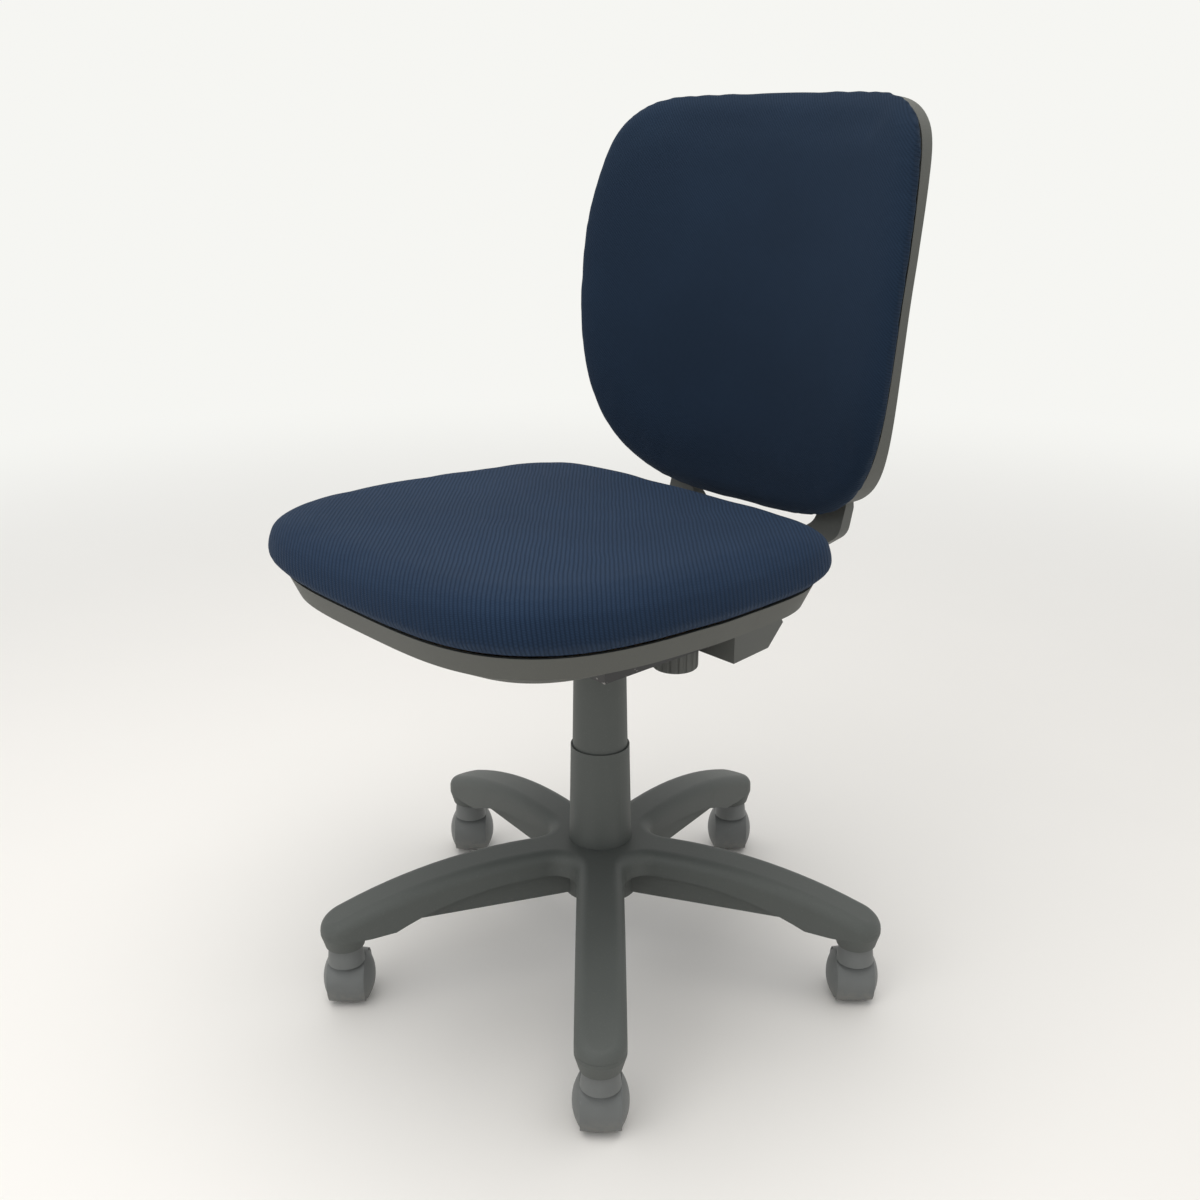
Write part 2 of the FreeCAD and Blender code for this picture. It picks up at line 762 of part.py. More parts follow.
def cover_outline(name, wall):
    """Side outline of the rear cover, drawn in by the wall given."""
    return outline(name, "YZ", [
        (f"cover_front+{wall}", f"cover_floor+{wall}"),
        ("cover_heel_y", f"cover_floor+cover_heel_rise+{wall}"),
        (f"cover_rear_y-{wall}", f"cover_floor+cover_rear_rise+{wall}/2"),
        (f"cover_rear_y-4-{wall}", f"cover_floor+cover_lip_rise+3*{wall}"),
        (f"cover_heel_y+5-{wall}", f"cover_floor+cover_lip_rise+8+3*{wall}"),
        (f"cover_heel_y-9-{wall}", f"flange_top-loose_gap+{wall}"),
        (f"cover_front+{wall}", f"flange_top-loose_gap+{wall}"),
    ])


node(cut(
    "mechanism_cover",
    extrude("cover_block", cover_outline("cover_side", "0"), X_AXIS, "2*cover_half_width"),
    [extrude("cover_room", cover_outline("cover_side_inside", "cover_wall"), X_AXIS,
             "2*(cover_half_width-cover_wall)"),
     box("cover_notch", "2*(channel_half_width+loose_gap)", "cover_rear_y-cover_front+2",
         "flange_top-channel_floor+2", "-channel_half_width-loose_gap", "cover_front-1",
         "channel_floor-loose_gap")],
), "mechanism_cover")

pin_half = "channel_half_width+pivot_pin_end"
groove_radius = "pivot_radius-pivot_groove_depth"
clip_inside = "channel_half_width+loose_gap"
pin_body = cylinder("pin_body", "pivot_radius", f"2*({pin_half})", x=f"-({pin_half})", y="pivot_y",
                    z="pivot_z", along="X")


def pivot_rings(name, outer, inner, near, length):
    """Two rings on the pivot's axis, one each side of the middle."""
    rings = []
    for side, start in (("left", near), ("right", f"-({near})-({length})")):
        ring = cylinder(f"{name}_{side}_ring", outer, length, start, "pivot_y", "pivot_z", "X")
        hole = cylinder(f"{name}_{side}_hole", inner, length, start, "pivot_y", "pivot_z", "X")
        rings.append(cut(f"{name}_{side}", ring, [hole]))
    return rings


clip_groove = pivot_rings("pin_groove", "pivot_radius+1", groove_radius, clip_inside,
                          "pivot_clip_thickness")
node(cut("pivot_pin", pin_body, clip_groove), "pivot_pin")
clips = pivot_rings("pivot_clip", "pivot_radius+pivot_clip_width", groove_radius, clip_inside,
                    "pivot_clip_thickness")
node(group("pivot_clips", clips), "pivot_clips")

# ---------------------------------------------------------------- recline tension

knob_body = doc.addObject("PartDesign::Body", "tension_knob")


def own_plane(body, role):
    return next(plane for plane in body.Origin.OriginFeatures if plane.Role == role)


def body_circle(body, name, radius, x=0, y=0):
    """A circle on a body's own XY plane."""
    item = body.newObject("Sketcher::SketchObject", name)
    item.AttachmentSupport = (own_plane(body, "XY_Plane"), "")
    item.MapMode = "FlatFace"
    item.addGeometry(Part.Circle(Vector(size(x), size(y), 0), Z_AXIS, size(radius)), False)
    number = item.addConstraint(Constraint("Radius", 0, size(radius)))
    item.setExpression(f"Constraints[{number}]", formula(radius))
    for kind, axis, text in (("DistanceX", -2, x), ("DistanceY", -1, y)):
        if text == 0:
            item.addConstraint(Constraint("PointOnObject", 0, 3, axis))
            continue
        number = item.addConstraint(Constraint(kind, -1, 1, 0, 3, size(text)))
        item.setExpression(f"Constraints[{number}]", formula(text))
    return item


def pad(body, name, profile, length):
    item = body.newObject("PartDesign::Pad", name)
    item.Profile = profile
    bind(item, Length=length)
    return item


def pocket(body, name, profile, length):
    item = body.newObject("PartDesign::Pocket", name)
    item.Profile = profile
    item.Reversed = True
    bind(item, Length=length)
    return item


knob_pad = pad(knob_body, "knob_pad", body_circle(knob_body, "knob_circle", "knob_radius"), "knob_height")
doc.recompute()
knob_rim = knob_body.newObject("PartDesign::Fillet", "knob_rim")
rim_names = [f"Edge{n}" for n, edge in enumerate(knob_pad.Shape.Edges, start=1)
             if edge.Curve.TypeId == "Part::GeomCircle"]
knob_rim.Base = (knob_pad, rim_names)
bind(knob_rim, Radius="knob_round")
flute_circle = body_circle(knob_body, "flute_circle", "flute_radius", x="knob_radius+flute_offset")
flute = pocket(knob_body, "knob_flute", flute_circle, "knob_height")
flutes = knob_body.newObject("PartDesign::PolarPattern", "knob_flutes")
flutes.Originals = [flute]
flutes.Axis = (own_plane(knob_body, "Z_Axis"), [""])
flutes.Angle = 360
bind(flutes, Occurrences="knob_ribs")
knob_body.Tip = flutes
bore = pocket(knob_body, "knob_bore", body_circle(knob_body, "bore_circle", "bolt_radius+press_gap"),
              "knob_height")
knob_body.Tip = bore
place(knob_body, 0, "knob_y", "knob_floor")
node(knob_body, "tension_knob")

knob_top = "knob_floor+knob_height"
node(fuse("tension_bolt", [
    cylinder("bolt_shank", "bolt_radius", "nut_floor+nut_height+bolt_tail-knob_floor-bolt_hold",
             y="knob_y", z="knob_floor+bolt_hold"),
    cylinder("bolt_collar_ring", "bolt_radius+bolt_collar", f"channel_floor-loose_gap-({knob_top})",
             y="knob_y", z=knob_top),
]), "tension_bolt")
node(cut("tension_nut", cylinder("nut_plate", "nut_radius", "nut_height", y="knob_y", z="nut_floor"), [
    cylinder("nut_thread", "bolt_radius+running_gap", "nut_height", y="knob_y", z="nut_floor"),
]), "tension_nut")

coil_low = "tongue_floor+tongue_depth+loose_gap+spring_wire"
coil_high = "nut_floor-loose_gap-spring_wire"
helix = doc.addObject("Part::Helix", "spring_path")
bind(helix, Radius="spring_radius", Height=f"{coil_high}-({coil_low})",
     Pitch=f"({coil_high}-({coil_low}))/spring_coils")
place(helix, 0, "knob_y", coil_low)
wire_section = doc.addObject("Part::Circle", "spring_section")
bind(wire_section, Radius="spring_wire")
place(wire_section, "spring_radius", "knob_y", coil_low, "Y")
spring = doc.addObject("Part::Sweep", "tension_spring")
spring.Sections = [wire_section]
spring.Spine = (helix, ["Edge1"])
spring.Solid = True
spring.Frenet = True
node(spring, "tension_spring")

# ---------------------------------------------------------------- height lever

ear_low = "channel_floor+plate_thickness"
ear_gap = "lever_radius+loose_gap"
ears = []
ear_edge = f"-({ear_gap})-ear_thickness"
ear_x = "lever_pivot_x-ear_length/2"
for side, start in (("front", ear_edge), ("rear", ear_gap)):
    ears.append(box(f"ear_{side}", "ear_length", "ear_thickness", f"{lever_z}+ear_rise-({ear_low})",
                    ear_x, start, ear_low))
bracket_blank = fuse("bracket_blank", ears + [
    box("ear_foot", "ear_length", f"2*({ear_gap}+ear_thickness)", "ear_thickness", ear_x, ear_edge, ear_low),
])
pin_reach = f"({ear_gap}+ear_thickness+1)"
node(cut("lever_bracket", bracket_blank, [
    cylinder("bracket_hole", "lever_pin_radius+press_gap", f"2*{pin_reach}", "lever_pivot_x",
             f"-{pin_reach}", lever_z, "Y"),
]), "lever_bracket")
node(cylinder("lever_pin", "lever_pin_radius", f"2*{pin_reach}", "lever_pivot_x", f"-{pin_reach}", lever_z,
              "Y"), "lever_pin")
lever_bar = cylinder("lever_bar", "lever_radius", "lever_inner_end-lever_end_x", "lever_end_x", 0, lever_z,
                     "X")
node(cut("lever_rod", lever_bar, [
    cylinder("lever_eye", "lever_pin_radius+running_gap", "3*lever_radius", "lever_pivot_x",
             "-1.5*lever_radius", lever_z, "Y"),
]), "lever_rod")
handle_block = box("handle_block", "handle_length", "handle_width", "handle_thickness",
                   "lever_end_x-handle_overlap", "-handle_width/2", f"{lever_z}-handle_thickness/2")
handle_soft = fillet("handle_soft", handle_block, "handle_width/3", lambda e: runs_along(e, Z_AXIS))
handle_smooth = fillet("handle_smooth", handle_soft, "handle_round", lambda e: not runs_along(e, Z_AXIS))
node(cut("lever_handle", handle_smooth, [
    cylinder("handle_hole", "lever_radius+press_gap", "handle_length", "lever_end_x", 0, lever_z, "X"),
]), "lever_handle")

# ---------------------------------------------------------------- seat


def seat_wire(inset, height, sloped, points=40):
    """The seat's plan outline drawn in by inset, at a height on the column's axis."""
    half = size("seat_half_width") - inset
    corners = []
    for index in range(points):
        angle = 2 * math.pi * index / points
        across, along = math.cos(angle), math.sin(angle)
        front = along < 0
        power = size("seat_front_power" if front else "seat_rear_power")
        depth = size("seat_front_depth" if front else "seat_rear_depth") - inset
        reach = ((abs(across) / half) ** power + (abs(along) / depth) ** power) ** (-1 / power)
        taper = 1 - size("seat_taper") * reach * along / size("seat_rear_depth")
        x = reach * across * (1 if front else taper)
        y = size("seat_centre_y") + reach * along
        fall = math.tan(math.radians(size("seat_slope"))) * (y - size("seat_centre_y")) if sloped else 0
        corners.append(Vector(x, y, height - fall))
    curve = Part.BSplineCurve()
    curve.interpolate(corners, PeriodicFlag=True)
    return Part.Wire([curve.toShape()])


def loft(name, wires, ruled=True):
    sections = [shaped(f"{name}_section_{k}", wire) for k, wire in enumerate(wires)]
    item = doc.addObject("Part::Loft", name)
    item.Sections = sections
    item.Solid = True
    item.Ruled = ruled
    return item


seam = size("seam_height")
rim_floor = size("seam_height-rim_height")
tray_floor = size("flange_top")
shell_wall = size("shell_wall")
lean = size("rim_lean")
tray = size("tray_inset")
shell_outside = loft("shell_outside", [
    seat_wire(0, seam, True),
    seat_wire(lean, rim_floor, True),
    seat_wire(tray, tray_floor, False),
])
shell_inside = loft("shell_inside", [
    seat_wire(shell_wall - lean / size("rim_height") * shell_wall, seam + shell_wall, True),
    seat_wire(lean + shell_wall, rim_floor + shell_wall / 2, True),
    seat_wire(tray + shell_wall, tray_floor + shell_wall, False),
])
arm_hole_places = [(sign + "arm_hole_x", f"seat_centre_y{way}arm_hole_spacing/2")
                   for sign in ("", "-") for way in ("-", "+")]
shell_cutters = [shell_inside]
for k, (x, y) in enumerate(seat_bolt_places):
    shell_cutters.append(cylinder(f"shell_hole_{k}", "screw_radius+loose_gap", 10, x, y, "flange_top-3"))
for k, (x, y) in enumerate(arm_hole_places):
    shell_cutters.append(cylinder(f"arm_port_{k}", "arm_boss_radius+press_gap", 10, x, y, "flange_top-3"))
node(cut("seat_shell", shell_outside, shell_cutters), "seat_shell")

pan_floor = "pan_top-pan_thickness"
pan_plate = extrude("pan_plate", shaped("pan_outline", seat_wire(size("pan_inset"), size(pan_floor), False)),
                    Z_AXIS, "pan_thickness", start=0)
floor_inside = "flange_top+shell_wall"
pan_parts = [pan_plate]
pan_cutters = []
for k, (x, y) in enumerate(seat_bolt_places):
    pan_parts.append(cylinder(f"pan_foot_{k}", "pan_foot_radius", f"{pan_floor}-({floor_inside})+1", x, y,
                              floor_inside))
    pan_cutters.append(cylinder(f"pan_thread_{k}", "screw_radius+press_gap", "pan_top-flange_top", x, y,
                                "flange_top"))
for k, (x, y) in enumerate(arm_hole_places):
    pan_parts.append(cylinder(f"arm_boss_{k}", "arm_boss_radius", f"{pan_floor}-flange_top+1", x, y,
                              "flange_top"))
    pan_cutters.append(cylinder(f"arm_thread_{k}", "arm_hole_radius", "arm_thread_depth", x, y,
                                "flange_top"))
node(cut("seat_pan", fuse("pan_solid", pan_parts), pan_cutters), "seat_pan")

gap = size("pad_gap")
bulge = size("seat_bulge")
pad_body = loft("pad_body", [
    seat_wire(0.5, seam + gap, True),
    seat_wire(-bulge, seam + size("seat_bulge_height"), True),
    seat_wire(-0.4 * bulge, seam + 0.75 * size("seat_pad_height"), True),
    seat_wire(0.8 * bulge, seam + 0.93 * size("seat_pad_height"), True),
    seat_wire(3 * bulge, seam + size("seat_pad_height"), True),
])
pad_plug = loft("pad_plug", [
    seat_wire(size("pan_inset") + 4, size("pan_top") + gap, False),
    seat_wire(size("pan_inset") + 4, seam + 14, False),
])
node(fuse("seat_cushion", [pad_body, pad_plug]), "seat_cushion")


def screw(name, x, y, head_z, length):
    """A screw driven upwards: head_z is the seat of its head."""
    return fuse(name, [
        cylinder(name + "_head", "screw_head_radius", "screw_head_height", x, y,
                 f"{head_z}-screw_head_height"),
        cylinder(name + "_shank", "screw_radius", length, x, y, head_z),
    ])


seat_bolts = [screw(f"seat_bolt_{k}", x, y, "flange_top-plate_thickness", "pan_top-flange_top-3")
              for k, (x, y) in enumerate(seat_bolt_places)]
node(group("seat_bolts", seat_bolts), "seat_bolts")

# ---------------------------------------------------------------- back


def back_wire(inset, points=40):
    """The back's outline in the XZ plane, drawn in by inset."""
    half = size("back_half_width") - inset
    middle_z = size("back_foot+back_wide_at")
    corners = []
    for index in range(points):
        angle = 2 * math.pi * index / points
        across, along = math.cos(angle), math.sin(angle)
        top = along > 0
        power = size("back_top_power" if top else "back_foot_power")
        tall = size("back_height-back_wide_at" if top else "back_wide_at") - inset
        reach = ((abs(across) / half) ** power + (abs(along) / tall) ** power) ** (-1 / power)
        narrow = 1 - size("back_narrowing") * (max(along, 0) * reach / tall) ** 1.5
        corners.append(Vector(reach * across * narrow, 0, middle_z + reach * along))
    curve = Part.BSplineCurve()
    curve.interpolate(corners, PeriodicFlag=True)
    return Part.Wire([curve.toShape()])


def front_y(x, z):
    """The front of the back cushion: curved round the sitter, with a lumbar bulge."""
    rise = z - size("back_foot")
    lean_y = rise * math.tan(math.radians(size("back_lean")))
    wrap = size("back_wrap") * (x / size("back_wrap_at")) ** 2
    lumbar = size("lumbar_depth") * ((rise - size("lumbar_at")) / (size("back_height") / 2)) ** 2
    return size("back_front_y") + lean_y - wrap + lumbar


def seam_depth(across, up):
    """Depth of the seam behind the front: across and up run from -1 to 1 over the back."""
    middle_part = max(1 - abs(across) ** 3, 0) * max(1 - abs(up) ** 5, 0)
    edge = size("pad_edge_depth")
    return edge + (size("pad_middle_depth") - edge) * middle_part


def shell_depth(across, up):
    """Depth of the shell's outside behind the front; it stays full down to the arms."""
    middle_part = max(1 - abs(across) ** 3.5, 0) * (1 - max(up, 0) ** 4)
    edge = size("shell_edge_depth")
    return edge + (size("shell_middle_depth") - edge) * middle_part


def behind(name, depth, extra):
    """A block that fills everything behind a surface at the given depth."""
    half = size("back_half_width")
    tall = size("back_height")
    rows = []
    for across in [step / 6 for step in range(-7, 8)]:
        row = []
        for up in [step / 6 for step in range(-7, 8)]:
            x = across * half
            z = size("back_foot") + (up + 1) / 2 * tall
            inside = (max(-1, min(1, across)), max(-1, min(1, up)))
            row.append(Vector(x, front_y(x, z) + depth(*inside) + extra, z))
        rows.append(row)
    surface = Part.BSplineSurface()
    surface.interpolate(rows)
    return extrude(name, shaped(name + "_face", surface.toShape()), Y_AXIS, 300, start=0)


def flat_depth(across, up):
    return 0


def back_block(name, inset):
    return extrude(name, shaped(name + "_outline", back_wire(inset)), Y_AXIS, 500, start=0)


behind_front = behind("behind_front", flat_depth, 0)
behind_seam = behind("behind_seam", seam_depth, 0)
behind_pad = behind("behind_pad", seam_depth, -gap)
behind_pan = behind("behind_pan", seam_depth, size("back_pan_thickness"))
behind_inside = behind("behind_inside", shell_depth, -shell_wall)
behind_shell = behind("behind_shell", shell_depth, 0)
node(cut("back_cushion", common("cushion_solid", back_block("cushion_block", 0), behind_front),
         [behind_pad]), "back_cushion")

arm_sides = ("", "-")
arm_slots = [
    box(f"arm_slot_{k}", "arm_width+1", "arm_depth+6", "arm_thin_z-back_foot+30",
        f"{sign}arm_centre_x-arm_width/2-0.5", "arm_front_y-5", "back_foot-40")
    for k, sign in enumerate(arm_sides)
]
shell_inset = size("shell_inset")
shell_block = common("back_shell_block", back_block("shell_block", shell_inset), behind_seam)
shell_solid = cut("back_shell_solid", shell_block, [behind_shell])
shell_room = cut("back_shell_room", back_block("room_block", shell_inset + shell_wall), [behind_inside])
node(cut("back_shell", shell_solid, [shell_room] + arm_slots), "back_shell")

bolt_places = [(sign + "arm_centre_x", z) for sign in arm_sides for z in ("back_bolt_low", "back_bolt_high")]
pan_outline = back_block("back_pan_outline", size("back_pan_inset"))
pan_blank = cut("back_pan_blank", common("back_pan_block", pan_outline, behind_seam), [behind_pan])
back_feet = [
    cylinder(f"back_foot_{k}", "back_foot_radius", "back_foot_length", x, "arm_front_y-back_foot_length",
             z, "Y")
    for k, (x, z) in enumerate(bolt_places)
]
back_threads = [cylinder(f"back_thread_{k}", "screw_radius+press_gap", 20, x, "arm_front_y-10", z, "Y")
                for k, (x, z) in enumerate(bolt_places)]
behind_feet = extrude("behind_feet", behind_seam.Base, Y_AXIS, 300, start=0)
node(cut("back_pan", fuse("back_pan_solid", [
    pan_blank, common("back_feet", fuse("back_feet_all", back_feet), behind_feet),
]), back_threads), "back_pan")

head_seat = "arm_front_y+arm_thin_depth-screw_head_height-0.4"
back_bolts = [
    fuse(f"back_bolt_{k}", [
        cylinder(f"back_bolt_head_{k}", "screw_head_radius", "screw_head_height", x, head_seat, z, "Y"),
        cylinder(f"back_bolt_shank_{k}", "screw_radius", f"{head_seat}-arm_front_y+8", x, "arm_front_y-8",
                 z, "Y"),
    ]) for k, (x, z) in enumerate(bolt_places)
]
node(group("back_bolts", back_bolts), "back_bolts")

# ---------------------------------------------------------------- yoke

arm_rear_y = "arm_front_y+arm_thin_depth"
yoke_side = outline("yoke_side", "YZ", [
    ("tongue_front_y", "tongue_floor"),
    ("tongue_front_y+38", "tongue_floor"),
    ("pivot_y-14", "root_top_z-root_depth-6"),
    ("pivot_y+14", "root_top_z-root_depth"),
    ("root_rear_y+root_depth", "root_top_z-root_depth"),
    ("arm_front_y+arm_depth+0.5", "arm_bend_z-3"),
    (arm_rear_y, "arm_thin_z"),
    (arm_rear_y, "arm_top"),
    ("arm_front_y", "arm_top"),
    ("arm_front_y", "arm_bend_z"),
    ("root_rear_y", "root_top_z"),
    ("pivot_y-14", "root_top_z"),
    ("tongue_front_y+34", "tongue_floor+tongue_depth"),
    ("tongue_front_y", "tongue_floor+tongue_depth"),
])
arm_outside = "arm_centre_x+arm_width/2"
arm_inside = "arm_centre_x-arm_width/2"
yoke_front = outline("yoke_front", "XZ", [
    ("-yoke_root_half", "tongue_floor-20"),
    ("yoke_root_half", "tongue_floor-20"),
    ("yoke_root_half", "root_top_z+6"),
    (arm_outside, "arm_bend_z-30"),
    (arm_outside, "arm_top+1"),
    (arm_inside, "arm_top+1"),
    (arm_inside, "arm_bend_z-20"),
    ("yoke_root_half-8", "root_top_z+38"),
    ("-yoke_root_half+8", "root_top_z+38"),
    (f"-({arm_inside})", "arm_bend_z-20"),
    (f"-({arm_inside})", "arm_top+1"),
    (f"-({arm_outside})", "arm_top+1"),
    (f"-({arm_outside})", "arm_bend_z-30"),
    ("-yoke_root_half", "root_top_z+6"),
])
yoke_front_block = fillet(
    "yoke_front_block",
    extrude("yoke_front_raw", yoke_front, Y_AXIS, 700),
    "yoke_crotch_round",
    lambda e: runs_along(e, Y_AXIS) and size("root_top_z") < middle(e).z < size("arm_bend_z"),
)
yoke_side_block = fillet(
    "yoke_side_block",
    extrude("yoke_side_raw", yoke_side, X_AXIS, "2*arm_centre_x+arm_width+4"),
    "yoke_bend_round", lambda e: runs_along(e, X_AXIS) and middle(e).z > size("root_top_z-root_depth-1")
    and middle(e).z < size("arm_bend_z+1") and middle(e).y > size("root_rear_y-1"),
)
yoke_blank = fuse("yoke_blank", [
    common("yoke_strap", yoke_side_block, yoke_front_block),
    cylinder("yoke_boss", "yoke_boss_radius", "2*yoke_root_half", "-yoke_root_half", "pivot_y", "pivot_z",
             "X"),
])
bush_radius = "pivot_radius+pivot_bush_wall"
yoke_cutters = [
    cylinder("yoke_pivot_hole", f"{bush_radius}+press_gap", "2*yoke_root_half+2", "-yoke_root_half-1",
             "pivot_y", "pivot_z", "X"),
    cylinder("tongue_hole", "tongue_hole_radius", 30, 0, "knob_y", "tongue_floor-10"),
]
for k, (x, z) in enumerate(bolt_places):
    yoke_cutters.append(cylinder(f"arm_hole_{k}", "screw_radius+loose_gap", 30, x, "arm_front_y-5", z, "Y"))
    yoke_cutters.append(cylinder(f"arm_counterbore_{k}", "screw_head_radius+loose_gap", 10, x, head_seat,
                                 z, "Y"))
node(cut("yoke", yoke_blank, yoke_cutters), "yoke")
bushes = pivot_rings("yoke_bush", bush_radius, "pivot_radius+running_gap", "yoke_root_half-yoke_bush_length",
                     "yoke_bush_length+channel_half_width-plate_thickness-yoke_root_half-loose_gap")
node(group("yoke_bushes", bushes), "yoke_bushes")

# ---------------------------------------------------------------- checks and files

doc.recompute()
faults = [f"{item.Name}: {item.State}" for item in doc.Objects
          if any(word in item.State for word in ("Invalid", "Error"))]
for item in nodes:
    if item.Shape.isNull() or not item.Shape.isValid():
        faults.append(f"{item.Label}: bad shape")
if faults:
    raise SystemExit("\n".join(faults))

os.makedirs("parts", exist_ok=True)
for item in nodes:
    item.Shape.exportStep(f"parts/{item.Label}.step")
    solids = len(item.Shape.Solids)
    print(f"{item.Label}: {solids} solid(s), {item.Shape.Volume / 1000:.1f} cm3")
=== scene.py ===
"""Looks of a swivel office chair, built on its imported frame.

The seat and back cushions are modelled here over their solids in the frame. Every other piece
comes from the frame and is given its finish. All lengths are in metres; +Z is up, the sitter
faces -Y, and the origin is on the floor under the column.
"""
import math

import bpy
import numpy as np
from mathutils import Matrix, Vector
from mathutils.bvhtree import BVHTree
from mathutils.geometry import convex_hull_2d


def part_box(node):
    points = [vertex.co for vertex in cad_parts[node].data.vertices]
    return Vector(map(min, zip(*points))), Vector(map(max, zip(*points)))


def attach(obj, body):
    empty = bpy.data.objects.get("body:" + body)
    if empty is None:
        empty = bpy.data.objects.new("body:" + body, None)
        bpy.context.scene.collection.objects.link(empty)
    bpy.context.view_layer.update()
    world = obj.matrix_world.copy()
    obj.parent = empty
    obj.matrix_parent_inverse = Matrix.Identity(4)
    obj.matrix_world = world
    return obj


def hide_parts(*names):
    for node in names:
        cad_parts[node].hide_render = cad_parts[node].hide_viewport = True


bl_info = {
    "name": "Office Chair Looks",
    "version": (1, 0, 0),
    "blender": (4, 5, 0),
    "location": "3D View > Sidebar > Office Chair",
    "description": "Cushions, finishes and studio for a swivel office chair",
    "category": "Object",
}

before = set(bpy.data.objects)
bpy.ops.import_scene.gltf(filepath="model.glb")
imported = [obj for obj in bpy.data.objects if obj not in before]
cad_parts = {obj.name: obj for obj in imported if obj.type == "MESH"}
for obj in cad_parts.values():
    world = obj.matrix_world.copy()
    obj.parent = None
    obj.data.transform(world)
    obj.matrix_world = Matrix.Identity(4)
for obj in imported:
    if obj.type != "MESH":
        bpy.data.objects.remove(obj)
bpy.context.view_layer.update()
BACK_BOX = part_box("back_cushion")

# Pieces of the frame by the finish they are given.
BASE_PIECES = ("star_base", "lower_sleeve", "upper_sleeve")
SHELL_PIECES = ("seat_shell", "back_shell")
UNDER_PIECES = ("mechanism_cover", "tension_knob", "lever_handle", "yoke")
ZINC_PIECES = ("column_socket", "lever_bracket", "seat_bolts", "back_bolts")
BRIGHT_PIECES = ("piston_rod", "rod_clip", "bearing_washer", "piston", "pivot_pin", "pivot_clips",
                 "lever_pin", "valve_pin", "tension_bolt", "tension_nut", "caster_stems")
BLACK_PIECES = ("mechanism_plate", "column_tube", "gas_cylinder", "lever_rod", "tension_spring")
BUSH_PIECES = ("guide_bush", "yoke_bushes")
WOOD_PIECES = ("seat_pan", "back_pan")


# ------------------------------------------------------------------ settings

class CushionSettings(bpy.types.PropertyGroup):
    """Sizes and colours of the two cushions."""

    seat_colour: bpy.props.FloatVectorProperty(
        name="Seat cloth", description="Colour of the seat's cloth", subtype="COLOR", size=3,
        min=0, max=1, default=(0.0150, 0.0305, 0.062))
    back_colour: bpy.props.FloatVectorProperty(
        name="Back cloth", description="Colour of the back's cloth", subtype="COLOR", size=3,
        min=0, max=1, default=(0.0108, 0.0222, 0.0430))
    rib_spacing: bpy.props.FloatProperty(
        name="Rib spacing", description="Distance between the ribs of the seat's cloth",
        default=0.0037, unit="LENGTH")
    twill_spacing: bpy.props.FloatProperty(
        name="Twill spacing", description="Distance between the twill lines of the back's cloth",
        default=0.0024, unit="LENGTH")
    rib_angle: bpy.props.FloatProperty(
        name="Rib angle", description="Turn of the seat's ribs from front to back",
        default=math.radians(48), unit="ROTATION")
    voxel: bpy.props.FloatProperty(
        name="Mesh spacing", description="Distance between the vertices of a cushion before it swells",
        default=0.0045, unit="LENGTH")
    pressure: bpy.props.FloatProperty(
        name="Pressure", description="Pressure that swells the cushions", default=4.0)
    swell: bpy.props.FloatProperty(
        name="Swell", description="Furthest that any point moves as a cushion swells", default=0.004,
        unit="LENGTH")
    crown: bpy.props.FloatProperty(
        name="Crown", description="Height added to the middle of the seat", default=0.002,
        unit="LENGTH")
    rise: bpy.props.FloatProperty(
        name="Rise", description="Height added all over the seat's top", default=0.0035, unit="LENGTH")
    side_fill: bpy.props.FloatProperty(
        name="Side fill", description="How far the seat's foam stands out over its shell", default=0.0095,
        unit="LENGTH")
    back_side_fill: bpy.props.FloatProperty(
        name="Back side fill", description="How far the back's foam stands out over its shell",
        default=0.005, unit="LENGTH")
    tuck: bpy.props.FloatProperty(
        name="Tuck", description="How far the cloth is pulled in where it meets a shell", default=0.0022,
        unit="LENGTH")
    back_round_across: bpy.props.FloatProperty(
        name="Back edge, across", description="Width of the rounded edge of the back cushion",
        default=0.020, unit="LENGTH")
    back_round_deep: bpy.props.FloatProperty(
        name="Back edge, deep", description="Depth of the rounded edge of the back cushion",
        default=0.0185, unit="LENGTH")


class PlasticSettings(bpy.types.PropertyGroup):
    """Colours of the moulded pieces."""

    base_colour: bpy.props.FloatVectorProperty(
        name="Base", description="Colour of the star base and the column's sleeves", subtype="COLOR",
        size=3, min=0, max=1, default=(0.083, 0.090, 0.084))
    caster_colour: bpy.props.FloatVectorProperty(
        name="Casters", description="Colour of the casters", subtype="COLOR", size=3, min=0, max=1,
        default=(0.135, 0.142, 0.139))
    shell_colour: bpy.props.FloatVectorProperty(
        name="Shells", description="Colour of the seat and back shells", subtype="COLOR", size=3,
        min=0, max=1, default=(0.092, 0.094, 0.084))
    under_colour: bpy.props.FloatVectorProperty(
        name="Under the seat", description="Colour of the cover, the knob, the handle and the yoke",
        subtype="COLOR", size=3, min=0, max=1, default=(0.114, 0.117, 0.108))
    grain: bpy.props.FloatProperty(
        name="Grain", description="Size of the grain moulded into the plastic", default=0.0011,
        unit="LENGTH")


